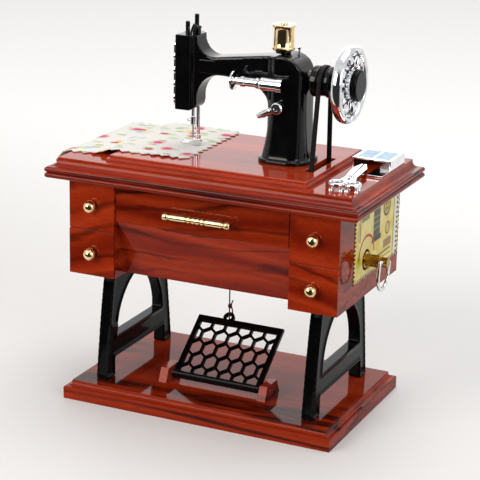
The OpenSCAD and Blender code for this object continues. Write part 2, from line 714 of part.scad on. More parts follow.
module arm_front() difference() {
    union() {
        translate([head_x, z_low]) square([head_w, z_head - z_low]);
        polygon([[head_right - 1, z_low + 6], [head_right - 1, z_head - 1.3],
            [head_right + sweep_r, z_head - 1.3],
            [head_right + sweep_r, arm_top_l], [shoulder_at[0], arm_top_r],
            [pillar_right, shoulder_at[1]],
            [pillar_right, z_bed], [pillar_left, z_bed], [pillar_left, z_low + 6]]);
        translate(shoulder_at) circle(shoulder_r);
    }
    translate([head_right + sweep_r, arm_top_l + sweep_r]) circle(sweep_r);
    throat();
    translate([head_right, z_low]) difference() {
        translate([-4, -1]) square([5, 5]);
        translate([-4, 4]) circle(4);
    }
}
// Space under the arm, from the head's side over the crown to the pillar
module throat() {
    translate([head_right + throat_l, crown_z - throat_l]) circle(throat_l);
    translate([pillar_left - throat_r, crown_z - throat_l]) circle(throat_r);
    polygon([[head_right + throat_l, crown_z], [head_right + throat_l + 4, crown_z],
        [pillar_left - throat_r + 2, crown_z - throat_l + throat_r - 0.2],
        [pillar_left, crown_z - throat_l], [pillar_left, z_bed - 1], [head_right, z_bed - 1],
        [head_right, crown_z - throat_l]]);
}
// Plan of the head, with its right corners cut back, of the arm and of the pillar
module arm_plan() {
    polygon([[head_x, -head_half], [head_right - 2.4, -head_half], [head_right, -head_half + 6],
        [head_right, head_half - 6],
        [head_right - 2.4, head_half], [head_x, head_half]]);
    for (y = [-1, 1]) polygon([[head_right - 2, 0], [head_right - 2, y * (arm_half - 2)],
        [pillar_left - 6, y * (arm_root - 1)], [pillar_left + 0.8, y * arm_root],
        [pillar_left + pillar_round, y * arm_root], [pillar_left + pillar_round, 0]]);
    translate([pillar_mid, 0]) rounded(pillar_w, 2 * pillar_half, pillar_round);
}
// The pillar's lower part spreads towards the bed; t runs from 0 at the bed to 1 under the crown
pillar_rise = crown_z - throat_l - z_bed;
foot_steps = 6;
function spread(t) = foot_out * (1 - t) * (1 - t);
module pillar_slice(t) translate([pillar_mid - foot_shift * (1 - t) * (1 - t), 0, z_bed + (pillar_rise - eps) * t])
    rounded_plate(pillar_w + 2 * spread(t), 2 * (pillar_half + spread(t)), eps, pillar_round + spread(t));
module pillar_foot() for (i = [0 : foot_steps - 1]) hull() {
    pillar_slice(i / foot_steps);
    pillar_slice((i + 1) / foot_steps);
}
collar_h = 1.9;
collar_out = 1.1;
needle_at = [head_right - 5.1, 1.5];
presser_at = [head_right - 2.2, 1.5];
bar_r = 1;
hollow_low = z_axis - 11;
hollow_high = z_axis + 11;
hollow_right = head_right - 0.7;
bush_wall = 1.2;
bush_l = 4;
rod_r = 0.9;
boss_l = 1.7;
boss_r = 4.2;

module machine_arm() color(black) difference() {
    union() {
        intersection() {
            rotate([90, 0, 0]) linear_extrude(2 * pillar_half + 2, center = true) arm_front();
            translate([0, 0, z_bed]) linear_extrude(z_head - z_bed) arm_plan();
        }
        pillar_foot();
        translate([pillar_mid - foot_shift, 0, z_bed])
            rounded_plate(pillar_w + 2 * (foot_out + collar_out),
                2 * (pillar_half + foot_out + collar_out), collar_h, pillar_round + foot_out + collar_out);
        x_rod(pillar_right - 6, pillar_right + boss_l, [0, z_axis], boss_r);
    }
    translate([head_x - 1, -head_half + 3, hollow_low])
        cube([hollow_right - head_x + 1, 2 * head_half - 6, hollow_high - hollow_low]);
    x_rod(hollow_right - 1, pillar_left + 3, shaft_at, rod_r + 0.3);
    x_rod(pillar_left + 2, pillar_right + boss_l + 1, shaft_at, shaft_d / 2 + 0.5);
    x_rod(hollow_right - eps, hollow_right + bush_l, shaft_at, rod_r + bush_wall);
    x_rod(pillar_right + boss_l - bush_l, pillar_right + boss_l + 1, shaft_at, shaft_d / 2 + bush_wall);
    translate([needle_at[0], needle_at[1], z_low - 1])
        cylinder(h = hollow_low - z_low + 2, r = bar_r + run);
    translate([presser_at[0], presser_at[1], z_low - 1]) cylinder(h = 9, r = bar_r);
    translate([cap_at[0], cap_at[1], z_head - seat]) cylinder(h = seat + 1, r = pin_r);
    translate([screw_at[0], screw_at[1], z_head - seat]) cylinder(h = seat + 1, r = pin_r);
    translate([spool_x, 0, z_spool - 6]) cylinder(h = 20, r = spool_pin_r);
    translate([guide_at[0], guide_at[1], z_spool - 8]) cylinder(h = 20, r = guide_r);
    translate([tension_x1 - 4, tension_y + tension_stub_l, z_tension]) rotate([90, 0, 0])
        cylinder(h = 30, r = tension_stub_r);
    translate([lever_at[0], 0, lever_at[1]]) rotate([90, 0, 0]) cylinder(h = 30, r = lever_stub_r);
}

module bush(x, r) difference() {
    x_rod(x, x + bush_l, shaft_at, r + bush_wall);
    x_rod(x - 1, x + bush_l + 1, shaft_at, r + run);
}
module arm_bushes() color(brass) {
    bush(hollow_right, rod_r);
    bush(pillar_right + boss_l - bush_l, shaft_d / 2);
}

// Head fittings

plate_edge = 1.2;
face_t = 1.2;
module face_outline() {
    translate([0, (z_low + 1 + z_head - 3) / 2]) rounded(2 * (head_half - plate_edge), z_head - z_low - 4,
        3);
    for (s = [-1, 1], i = [0 : 3]) translate([s * (head_half - plate_edge - 1.4), z_low + 6 + i * 7])
        circle(2.1);
}
module face_plate() color(chrome) difference() {
    across_x(head_x - face_t, [0, 0]) linear_extrude(face_t) face_outline();
    x_rod(head_x - face_t - 1, head_x + 1, face_knob_at, face_knob_pin_r);
}
face_knob_at = [0, z_bed + 46.6];
face_knob_pin_r = 0.9;
module face_plate_knob() color(chrome) {
    translate([head_x - face_t, face_knob_at[0], face_knob_at[1]]) rotate([0, -90, 0])
        rotate_extrude() polygon(concat([[0, 0], [1.4, 0], [1.4, 0.5], [0.9, 0.9]],
            arc([0, 1.5], 1.3, -30, 90, 6)));
    x_rod(head_x - face_t, head_x, face_knob_at, face_knob_pin_r);
}

pin_r = 1.15;
cap_at = [head_x + 3, 0];
screw_at = [head_x + 8.1, 0];
module needle_bar_cap() color(black) translate([cap_at[0], cap_at[1], z_head - seat]) {
    cylinder(h = seat + 5.4, r = pin_r);
    translate([0, 0, seat + 5.4]) cylinder(h = 0.4, r1 = pin_r, r2 = pin_r - 0.4);
}
module presser_screw() color(black) translate([screw_at[0], screw_at[1], z_head - seat]) {
    cylinder(h = seat + 9.5, r = pin_r);
    translate([0, 0, seat + 9.5]) cylinder(h = 0.4, r1 = pin_r, r2 = pin_r - 0.4);
    translate([0, 0, seat]) cylinder(h = 3, r = 2.3, $fn = 8);
    translate([0, 0, seat + 3]) cylinder(h = 1, r1 = 2.7, r2 = 1.9);
}

// Needle and presser

clamp_z = z_bed + 11.5;
clamp_h = 4;
clamp_r = 1.5;
needle_tip = z_bed + 3.4;
module needle_bar() color(chrome) translate([needle_at[0], needle_at[1], clamp_z + clamp_h / 2])
    cylinder(h = z_axis + 4.5 - clamp_z - clamp_h / 2, r = bar_r);
module needle_clamp() color(chrome) translate([needle_at[0], needle_at[1], clamp_z]) difference() {
    union() {
        cylinder(h = clamp_h, r = clamp_r);
        translate([0, 0, clamp_h * 0.45]) rotate([0, -90, 0]) cylinder(h = 3, r = 0.8);
    }
    translate([0, 0, clamp_h / 2]) cylinder(h = clamp_h, r = bar_r);
    translate([0, 0, -1]) cylinder(h = clamp_h / 2 + 1 + eps, r = needle_r);
}
needle_r = 0.45;
module needle() color(steel) translate([needle_at[0], needle_at[1], needle_tip]) {
    cylinder(h = 1.6, r1 = 0.1, r2 = needle_r);
    translate([0, 0, 1.6]) cylinder(h = clamp_z + clamp_h / 2 - needle_tip - 1.6, r = needle_r);
}
// A strap on the needle bar that faces the crank pin
link_x = [needle_at[0] + bar_r + 0.1, needle_at[0] + bar_r + 1.1];
link_z = [z_axis - 7, z_axis + 2.6];
module needle_link() color(steel) difference() {
    union() {
        translate([needle_at[0], needle_at[1], link_z[0]]) cylinder(h = 3, r = bar_r + 1);
        translate([link_x[0], needle_at[1] - 1.5, link_z[0]])
            cube([link_x[1] - link_x[0], 3, link_z[1] - link_z[0]]);
    }
    translate([needle_at[0], needle_at[1], link_z[0] - 1]) cylinder(h = 5, r = bar_r);
}
foot_low = z_bed + cloth_lift + cloth_t + 0.3;
module presser_bar() color(chrome) translate([presser_at[0], presser_at[1], foot_low + 3.4])
    cylinder(h = z_low + 8 - foot_low - 3.4, r = bar_r);
module presser_foot() color(chrome) difference() {
    translate([presser_at[0], presser_at[1], foot_low]) {
        translate([0, 0, 2]) cylinder(h = 3.4, r = bar_r + 0.5);
        rotate([90, 0, 0]) linear_extrude(3.6, center = true)
            polygon([[-8, 0], [0.9, 0], [1.8, 1], [1.8, 3], [-1.65, 3], [-4.8, 1], [-8, 0.8], [-9, 1.5],
                [-9.4, 1.1]]);
    }
    translate([presser_at[0], presser_at[1], foot_low + 3.4]) cylinder(h = 3, r = bar_r);
    translate([presser_at[0] - 12, needle_at[1] - needle_r - 0.4, foot_low - 1])
        cube([needle_at[0] + needle_r + 0.4 - presser_at[0] + 12, 2 * needle_r + 0.8, 6]);
}

// Chrome fittings on the arm's front

tension_x0 = 3.6;
tension_x1 = 30.4;
z_tension = z_axis - 1.4;
tension_y = -pillar_half - 3.6;
tension_stub_l = 7.5;
tension_stub_r = 1.2;
tension_turned = [[0, 0], [4.8, 0], [4.8, 0.9], [1.9, 1.7], [1.9, 4.4], [2.6, 4.6], [2.6, 6.6],
    [2.2, 6.8], [2.2, 12.6], [2.7, 12.8],
    [2.7, 14], [2.3, 14.2], [3.2, 15.6], [3.2, 23.6], [2.7, 24], [3.5, 24.2], [3.5, 26.8], [0, 26.8]];
module tension_post() color(chrome) {
    translate([tension_x0, tension_y, z_tension]) rotate([0, 90, 0]) rotate_extrude()
        polygon(tension_turned);
    translate([tension_x1 - 4, tension_y, z_tension]) rotate([-90, 0, 0])
        cylinder(h = tension_stub_l, r = tension_stub_r);
}
lever_at = [27, z_axis - 13.2];
lever_stub_r = 1.2;
lever_l = 12;
lever_drop = 26;
module stitch_lever() color(chrome) translate([lever_at[0], -pillar_half, lever_at[1]]) rotate([90, 0, 0])
    {
    rotate_extrude() polygon([[0, 0], [2.4, 0], [2.4, 0.8], [3.1, 1], [3.1, 3.4], [2.4, 4], [1.2, 4],
        [1, 3.6], [0, 3.6]]);
    mirror([0, 0, 1]) cylinder(h = pillar_half, r = lever_stub_r);
    rotate([0, 0, 180 + lever_drop]) translate([2, 0, 2.2]) rotate([0, 90, 0])
        rotate_extrude() polygon([[0, 0], [1.6, 0], [2.1, 1.4], [1.7, 5.6], [1.9, 5.9],
            [1.2, lever_l - 2.6], [0.7, lever_l - 2.2], [0, lever_l - 2]]);
}

// Spool

spool_x = shoulder_at[0] - 2.1;
z_spool = arm_top_r + 0.1;
spool_pin_r = 1.2;
spool_seat_h = 1.2;
spool_base = z_spool + spool_seat_h + 0.3;
module spool_pin() color(black) translate([spool_x, 0, z_spool]) {
    translate([0, 0, -6]) cylinder(h = spool_h + 4, r = spool_pin_r);
    translate([0, 0, 0]) cylinder(h = spool_seat_h, r = 3.9);
}
spool_r = spool_d / 2;
module thread_spool() color(gold) translate([spool_x, 0, spool_base]) difference() {
    rotate_extrude() polygon(concat([[0, 0], [spool_r - 0.9, 0], [spool_r - 0.2, 0.6],
        [spool_r - 0.2, 1.5], [spool_r - 0.8, 2.1], [spool_r - 1.2, 3.2]],
        [[spool_r - 1.5, 5], [spool_r - 1.5, spool_h - 5], [spool_r - 1.1, spool_h - 3.2],
        [spool_r - 0.3, spool_h - 2]],
        [[spool_r, spool_h - 1.4], [spool_r - 0.3, spool_h - 0.9], [1.9, spool_h - 0.6], [1.7, spool_h],
        [0, spool_h]]));
    translate([0, 0, -1]) cylinder(h = spool_h - 2, r = spool_pin_r + run);
    for (a = [45 : 90 : 315]) rotate(a) translate([0.9, 0, spool_h - 0.6])
        cylinder(h = 1, r = 0.35, $fn = 16);
}
guide_at = [spool_x + 7.6, 2];
guide_r = 0.5;
module guide_pin() color(chrome) translate([guide_at[0], guide_at[1], z_spool - 8]) {
    cylinder(h = 11, r = guide_r);
    translate([0, 0, 11]) sphere(1, $fn = 24);
}

// Arm shaft, upper pulley, hand wheel and belt

shaft_at = [0, z_axis];
wheel_r = wheel_d / 2;
cap_x = wheel_x + wheel_rim_w;
shaft_left = hollow_right - gap - 0.8;
// Thick in the pillar and the wheel, thin in the arm
module arm_shaft() color(steel) {
    x_rod(shaft_left, pillar_left + 4, shaft_at, rod_r);
    x_rod(pillar_left + 3.4, cap_x, shaft_at, shaft_d / 2);
}

crank_e = 3;
module crank_disc() color(steel) difference() {
    union() {
        x_rod(shaft_left, shaft_left + 0.8, shaft_at, 4.5);
        x_rod(link_x[1] + 0.35, shaft_left + 0.4, [crank_e, z_axis], 0.7);
    }
    x_rod(shaft_left - 1, shaft_left + 2, shaft_at, rod_r);
}

upper_seat_r = upper_seat_d / 2;
pulley_left = pillar_right + boss_l + gap;
belt_play = 0.5;
ring_rise = 0.7;
ring_edge = 0.9;
belt_left = belt_x - belt_w / 2 - belt_play - pulley_left;
belt_right = belt_x + belt_w / 2 + belt_play - pulley_left;
function pulley_ring(x0, x1) = [[upper_seat_r + ring_rise - ring_edge, x0],
    [upper_seat_r + ring_rise - ring_edge * 0.3, x0 + ring_edge * 0.4], [upper_seat_r + ring_rise, x0 + ring_edge],
    [upper_seat_r + ring_rise, x1 - ring_edge], [upper_seat_r + ring_rise - ring_edge * 0.3, x1 - ring_edge * 0.4],
    [upper_seat_r + ring_rise - ring_edge, x1]];
module upper_pulley() color(black) across_x(pulley_left, shaft_at) rotate_extrude() polygon(concat(
    [[shaft_d / 2, 0]], pulley_ring(0, belt_left), [[upper_seat_r, belt_left], [upper_seat_r, belt_right]],
    pulley_ring(belt_right, belt_right + 3), [[4.6, belt_right + 3], [4.6, wheel_x - pulley_left],
    [shaft_d / 2, wheel_x - pulley_left]]));

petal_count = 8;
module hand_wheel() color(chrome) difference() {
    union() {
        across_x(wheel_x, shaft_at) rotate_extrude($fn = 96)
            polygon([[0, 0], [5.4, 0], [5.4, 2], [wheel_r - 4.6, 2], [wheel_r - 4, 0.6],
            [wheel_r - 2.6, 0], [wheel_r - 1, 0.5], [wheel_r - 0.2, 1.6], [wheel_r, wheel_rim_w / 2],
            [wheel_r - 0.2, wheel_rim_w - 1.6],
            [wheel_r - 1, wheel_rim_w - 0.5], [wheel_r - 2.4, wheel_rim_w],
            [wheel_r - 3.6, wheel_rim_w - 0.6], [wheel_r - 4.4, wheel_rim_w - 1.8],
            [cap_d / 2, wheel_rim_w - 1.8], [cap_d / 2 - 0.4, wheel_rim_w], [0, wheel_rim_w]]);
        for (i = [0 : petal_count - 1]) across_x(cap_x - 2.4, shaft_at) rotate(i * 360 / petal_count)
            translate([(cap_d / 2 + wheel_r - 4.4) / 2 + 0.3, 0, 0]) sphere(1.9, $fn = 24);
        for (i = [0 : petal_count - 1]) across_x(cap_x - 2.1, shaft_at)
            rotate((i + 0.5) * 360 / petal_count)
            translate([wheel_r - 6.2, 0, 0]) sphere(1.2, $fn = 24);
    }
    x_rod(wheel_x - 1, cap_x + 1, shaft_at, shaft_d / 2);
}

cap_h = 3.4;
module wheel_cap() color(black) across_x(cap_x, shaft_at)
    rotate_extrude() polygon([[0, 0], [cap_d / 2, 0], [cap_d / 2, cap_h * 0.76],
        [cap_d / 2 - cap_h * 0.24, cap_h], [0, cap_h]]);

stem_at = [stem_y, z_cab + stem_h];
lower_seat_r = lower_seat_d / 2;
belt_line = shaft_at - stem_at;
belt_angle = atan2(belt_line[1], belt_line[0]);
function belt_lean(r1, r2) = acos((r2 - r1) / norm(belt_line));
// Outline round both pulleys: an arc on each one, joined by their outer tangents
module belt_outline(r1, r2) {
    lean = belt_lean(r1, r2);
    polygon(concat(arc(shaft_at, r1, belt_angle - lean, belt_angle + lean, 36),
        arc(stem_at, r2, belt_angle + lean, belt_angle + 360 - lean, 40)));
}
module drive_belt() color("#1b1b1c") across_x(belt_x - belt_w / 2, [0, 0]) linear_extrude(belt_w)
    difference() {
    belt_outline(upper_seat_r + run + belt_t, lower_seat_r + run + belt_t);
    belt_outline(upper_seat_r + run, lower_seat_r + run);
}

// Movement: two plates, spring barrel, tune cylinder, comb and governor

plate_left = belt_x + belt_w / 2 + belt_play + 1 + gap;
plate_right = inner_x - 1 - plate_t;
inside_left = plate_left + plate_t;
stem_r = stem_d / 2;
stub_r = 2.2;
arbor_r = 1;
pitch_sum = barrel_module * (barrel_teeth + pinion_teeth) / 2;
cyl_at = [eye_y - crank_throw, stem_at[1] + sqrt(pitch_sum * pitch_sum - pow(eye_y - crank_throw - stem_y,
    2))];
mesh_angle = atan2(cyl_at[1] - stem_at[1], cyl_at[0] - stem_at[0]);
fly_sum = train_module * (train_teeth + fly_teeth) / 2;
fly_at = cyl_at + [0, fly_sum];
gear_w = 2.2;
gear_x = plate_right - gap - gear_w;
train_x = inside_left + gap;
train_w = 1;
drum_x0 = train_x + train_w + gap;
drum_x1 = gear_x - gap;
barrel_r = pitch_sum - cylinder_d / 2 - 1.1;
cylinder_r = cylinder_d / 2;
stud_h = 0.4;

// A spur gear with one tooth on the +X axis, a little thinner than half its pitch
function gear_points(n, m) = [for (i = [0 : n - 1]) each
    [for (q = [[-0.33, -1.15], [-0.13, 0.8], [0.13, 0.8], [0.33, -1.15]])
    let (r = m * (n / 2 + q[1]), a = (i + q[0]) * 360 / n) r * [cos(a), sin(a)]]];
module gear(x, w, p, n, m, turn) across_x(x, p) rotate(turn) linear_extrude(w) polygon(gear_points(n, m));

module lower_pulley() color(black) difference() {
    union() {
        x_rod(belt_x - belt_w / 2 - belt_play - 1, belt_x + belt_w / 2 + belt_play + 1, stem_at,
            lower_seat_r);
        for (x = [belt_x - belt_w / 2 - belt_play - 1, belt_x + belt_w / 2 + belt_play])
            x_rod(x, x + 1, stem_at, lower_seat_r + 1.2);
    }
    x_rod(belt_x - 9, belt_x + 9, stem_at, stub_r);
}

module spring_barrel() color(brass) difference() {
    union() {
        x_rod(belt_x - belt_w / 2 - belt_play - 1, drum_x0, stem_at, stub_r);
        x_rod(drum_x0, gear_x + gear_w, stem_at, barrel_r);
        gear(gear_x, gear_w, stem_at, barrel_teeth, barrel_module, mesh_angle);
    }
    x_rod(drum_x0 + 0.8, gear_x - 0.6, stem_at, barrel_r - 0.8);
    x_rod(drum_x0 + 0.8, gear_x + gear_w + 1, stem_at, stem_r + run);
}

spring_turns = 4;
spring_t = 0.35;
spring_inner = stem_r + 0.5;
spring_outer = barrel_r - 0.8 - spring_t / 2 - 0.1;
function spiral(side) = [for (i = [0 : spring_turns * 24])
    let (f = i / (spring_turns * 24), r = spring_inner + (spring_outer - spring_inner) * f + side * spring_t / 2)
    r * [cos(i * 15), sin(i * 15)]];
module mainspring() color(steel) across_x(drum_x0 + 1.2, stem_at)
    linear_extrude(gear_x - 1 - drum_x0 - 1.2) let (a = spiral(1), b = spiral(-1))
    polygon(concat(a, [for (i = [len(b) - 1 : -1 : 0]) b[i]]));

frame_y = [stem_y - 15, cyl_at[0] + 24];
frame_z = [z_floor, fly_at[1] + 5];
post_r2 = 1.5;
post_at = [for (y = [frame_y[0] + 2.5, frame_y[1] - 2.5], z = [frame_z[0] + 3, frame_z[1] - 2.5]) [y, z]];
comb_tip = cyl_at[0] + cylinder_r + stud_h + 0.3;
comb_l = 13;
comb_t = 0.7;
comb_y = [comb_tip + comb_l * 0.65, comb_tip + comb_l];
module movement_plate(x) difference() {
    across_x(x, [0, 0]) linear_extrude(plate_t)
        translate([(frame_y[0] + frame_y[1]) / 2, (frame_z[0] + frame_z[1]) / 2])
        square([frame_y[1] - frame_y[0], frame_z[1] - frame_z[0]], center = true);
    children();
}
module movement_frame() color(steel) {
    movement_plate(plate_left) {
        x_rod(plate_left - 1, plate_left + plate_t + 1, stem_at, stub_r + run);
        x_rod(plate_left - 1, plate_left + plate_t + 1, cyl_at, arbor_r + run);
        x_rod(plate_left - 1, plate_left + plate_t + 1, fly_at, fly_pivot_r + run);
    }
    movement_plate(plate_right) {
        x_rod(plate_right - 1, plate_right + plate_t + 1, stem_at, stem_r + run);
        x_rod(plate_right - 1, plate_right + plate_t + 1, cyl_at, arbor_r + run);
        x_rod(plate_right - 1, plate_right + plate_t + 1, fly_at, fly_pivot_r + run);
    }
    for (p = post_at) x_rod(inside_left - eps, plate_right + eps, p, post_r2);
    translate([drum_x1 + gap, comb_y[0], cyl_at[1] - comb_t / 2 - 3])
        cube([plate_right - drum_x1 - gap + eps, comb_y[1] - comb_y[0], 3]);
}

track = (drum_x1 - drum_x0) / comb_teeth;
module tune_cylinder() color(brass) difference() {
    union() {
        x_rod(drum_x0, drum_x1, cyl_at, cylinder_r);
        x_rod(train_x, gear_x + gear_w, cyl_at, 2.4);
        gear(gear_x, gear_w, cyl_at, pinion_teeth, barrel_module, mesh_angle + 180 + 180 / pinion_teeth);
        gear(train_x, train_w, cyl_at, train_teeth, train_module, 90);
        for (i = [0 : comb_teeth - 1], k = [0 : 1]) across_x(drum_x0 + (i + 0.5) * track, cyl_at)
            rotate(i * 77 + k * 163)
            rotate([0, 90, 0]) cylinder(h = cylinder_r + stud_h, r = 0.16, $fn = 13);
    }
    x_rod(train_x - 1, gear_x + gear_w + 1, cyl_at, arbor_r);
}

crank_x = [eye[0] + 2.6, eye[0] + 4.2];
module cylinder_arbor() color(steel) {
    x_rod(crank_x[0], plate_right + plate_t, cyl_at, arbor_r);
    x_rod(crank_x[0], crank_x[1], cyl_at, crank_throw + 1.6);
    x_rod(eye[0] + cord_d / 2 + 0.35, crank_x[0] + eps, cyl_at + [crank_throw, 0], 0.8);
}

module comb() color(chrome) translate([0, 0, cyl_at[1] - comb_t / 2]) linear_extrude(comb_t) difference()
    {
    translate([drum_x0, comb_tip]) square([plate_right - drum_x0, comb_l]);
    for (i = [1 : comb_teeth - 1]) translate([drum_x0 + i * track - 0.14, comb_tip - 1])
        square([0.28, comb_y[0] - comb_tip + 0.4]);
    translate([drum_x1, comb_tip - 1]) square([plate_right - drum_x1 + 1, comb_y[0] - comb_tip + 0.4]);
}

fly_pivot_r = 0.6;
fly_r = fly_sum - cylinder_r - stud_h - 0.6;
module governor() color(brass) {
    x_rod(plate_left, plate_right + plate_t, fly_at, fly_pivot_r);
    gear(train_x, train_w, fly_at, fly_teeth, train_module, -90 + 180 / fly_teeth);
    x_rod(drum_x0 + 1, drum_x1 - 1, fly_at, 1.2);
    translate([drum_x0 + 2, fly_at[0] - fly_r, fly_at[1] - 0.4])
        cube([drum_x1 - drum_x0 - 4, 2 * fly_r, 0.8]);
}

// Winding stem and folding key

stem_tip = side_x + stem_out;
hinge_x = stem_tip - 2;
hinge_r = wire_d / 2;
grip_r = stem_r * 1.4;
flute_count = 12;
flute_depth = 0.25;
// Round with shallow waves
function fluted(r) = [for (i = [0 : 6 * flute_count - 1]) let (a = i * 60 / flute_count)
    (r - flute_depth * (i % 6 < 2 ? 1 : 0)) * [cos(a), sin(a)]];
module winding_stem() color(brass) difference() {
    union() {
        x_rod(drum_x0 + 1.2, stem_tip - 1, stem_at, stem_r);
        across_x(side_x - 1, stem_at) linear_extrude(stem_out + 1) polygon(fluted(grip_r));
    }
    translate([hinge_x, stem_at[0], stem_at[1]]) rotate([-key_lean, 0, 0]) rotate([90, 0, 0])
        cylinder(h = 2 * stem_d, r = hinge_r + run, center = true);
}

// A loop of wire in the plane across the stem: a hinge bar, two sides and a round end
module key_loop() color(chrome) translate([hinge_x, stem_at[0], stem_at[1]]) rotate([-key_lean, 0, 0]) {
    rotate([90, 0, 0]) cylinder(h = 2 * loop_half, r = hinge_r, center = true);
    for (s = [-1, 1]) translate([0, s * loop_half, 0]) {
        sphere(hinge_r);
        mirror([0, 0, 1]) cylinder(h = loop_side, r = hinge_r);
    }
    translate([0, 0, -loop_side]) rotate([0, 90, 0]) rotate([0, 0, -90]) rotate_extrude(angle = 180)
        translate([loop_half, 0]) circle(hinge_r);
}

base_plinth();
base_cover();
base_screws();
left_leg_frame();
right_leg_frame();
leg_screws();
left_treadle_bracket();
right_treadle_bracket();
treadle();
treadle_rod();
treadle_cord();
cabinet_body();
cabinet_floor();
middle_drawer_front();
left_upper_drawer_front();
left_lower_drawer_front();
right_upper_drawer_front();
right_lower_drawer_front();
drawer_knobs();
drawer_handle();
table_top();
machine_bed();
fabric();
side_label();
scissors();
sewing_box();
sewing_box_panels();
machine_arm();
arm_bushes();
face_plate();
face_plate_knob();
needle_bar_cap();
presser_screw();
needle_bar();
needle_link();
needle_clamp();
needle();
presser_bar();
presser_foot();
tension_post();
stitch_lever();
spool_pin();
thread_spool();
guide_pin();
arm_shaft();
crank_disc();
upper_pulley();
hand_wheel();
wheel_cap();
drive_belt();
lower_pulley();
spring_barrel();
mainspring();
movement_frame();
tune_cylinder();
cylinder_arbor();
comb();
governor();
winding_stem();
key_loop();
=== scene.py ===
import json
import math

import bpy
from mathutils import Matrix, Vector


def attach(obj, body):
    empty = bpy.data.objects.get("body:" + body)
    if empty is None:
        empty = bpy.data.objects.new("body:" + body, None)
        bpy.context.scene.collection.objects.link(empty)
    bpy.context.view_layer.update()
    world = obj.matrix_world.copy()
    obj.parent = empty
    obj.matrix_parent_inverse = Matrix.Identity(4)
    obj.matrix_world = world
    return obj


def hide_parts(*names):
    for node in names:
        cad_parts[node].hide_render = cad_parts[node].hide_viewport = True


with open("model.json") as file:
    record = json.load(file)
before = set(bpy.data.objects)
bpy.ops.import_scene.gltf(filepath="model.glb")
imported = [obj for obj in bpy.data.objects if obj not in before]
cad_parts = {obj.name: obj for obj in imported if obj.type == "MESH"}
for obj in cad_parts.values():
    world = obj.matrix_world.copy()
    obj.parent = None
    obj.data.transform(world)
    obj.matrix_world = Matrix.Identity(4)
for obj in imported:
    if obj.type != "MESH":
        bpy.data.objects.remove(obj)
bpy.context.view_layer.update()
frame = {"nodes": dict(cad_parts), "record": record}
nodes = frame["nodes"]
behaviour = frame["record"]["behaviour"]
bodyOf = {node: body for body, held in behaviour["bodies"].items() for node in held}
mm = 0.001
# Where the hinges lie, in millimetres
hinges = [joint for joint in behaviour["joints"] if joint["type"] == "hinge"]
hingeAt = {hinge["name"]: [place / mm for place in hinge["pos_m"]] for hinge in hinges}
wheelAxis = hingeAt["wheel_spin"][1:]
stemAxis = hingeAt["stem_wind"][1:]
spoolAxis = hingeAt["spool_spin"][:2]
alongX = (0, math.radians(90), 0)  # lays a primitive's axis along X
roundSides = 96  # corners of a turned piece
squareOn = 0.9  # how squarely a face looks one way to count as an end
scene = bpy.context.scene
print("loaded", len(nodes), "nodes")


# Camera: where the photograph was taken from, found from the table's and base's corners
cameraSetup = {"azimuth": 24.654, "elevation": 17.278, "distance": 889.616, "roll": 1.19,
               "target": (-3.861, 14.772, 80.0), "lens": 127.057, "sensor": 36, "nearest": 10}


def makeCamera(setup):
    turn, high, roll = [math.radians(setup[key]) for key in ("azimuth", "elevation", "roll")]
    back = Vector((math.sin(turn) * math.cos(high), -math.cos(turn) * math.cos(high), math.sin(high)))
    right = (-back).cross(Vector((0, 0, 1))).normalized()
    up = right.cross(-back)
    tiltRight = right * math.cos(roll) + up * math.sin(roll)
    tiltUp = up * math.cos(roll) - right * math.sin(roll)
    place = (Vector(setup["target"]) + back * setup["distance"]) * mm
    data = bpy.data.cameras.new("photoCamera")
    data.lens = setup["lens"]
    data.sensor_width = setup["sensor"]
    data.clip_start = setup["nearest"] * mm
    camera = bpy.data.objects.new("photoCamera", data)
    scene.collection.objects.link(camera)
    axes = Matrix((tiltRight, tiltUp, back)).transposed().to_4x4()
    camera.matrix_world = Matrix.Translation(place) @ axes
    scene.camera = camera


makeCamera(cameraSetup)
print("camera set")


def linear(hexColour):
    parts = [int(hexColour[i:i + 2], 16) / 255 for i in (1, 3, 5)]
    return [c / 12.92 if c <= 0.04045 else ((c + 0.055) / 1.055) ** 2.4 for c in parts] + [1.0]


def linkUp(tree, node, links):
    for key, (source, socket) in links.items():
        tree.links.new(source.outputs[socket], node.inputs[key])


# Settings are sockets, properties or a colour ramp's stops
def addNode(tree, kind, settings=None, links=None):
    node = tree.nodes.new("ShaderNode" + kind)
    for key, value in (settings or {}).items():
        if key == "stops":
            band = node.color_ramp.elements
            while len(band) < len(value):
                band.new(0.5)
            for element, (place, colour) in zip(band, value):
                element.position = place
                element.color = linear(colour)
        elif isinstance(key, int) or key in node.inputs:
            node.inputs[key].default_value = value
        else:
            setattr(node, key, value)
    linkUp(tree, node, links or {})
    return node


def startFinish(name, **sockets):
    material = bpy.data.materials.new(name)
    material.use_nodes = True
    shader = material.node_tree.nodes["Principled BSDF"]
    for key, value in sockets.items():
        shader.inputs[key.replace("_", " ")].default_value = value
    return material, material.node_tree, shader


# A wave texture's scale for one wave in a metre
oneWave = 0.314

# Water-transfer printed ABS: an ink film of rosewood figure under clear lacquer, so flame bands, dark veins
# and a wet shine. Spacings, sizes and shifts are in millimetres
woodPrint = {"ground": "#962a0d", "flame": "#a83616", "shade": "#7a1c08", "vein": "#2c0906",
             "flameSpacing": 24, "veinSpacing": 9, "poreSpacing": 0.9, "patchSize": 26.3, "rippleSize": 11.1,
             "turn": 0, "stretch": 7.0, "shift": (0, 0, 0), "veins": 1.0, "wander": 6.0, "light": 1.0,
             "shine": 0.3}
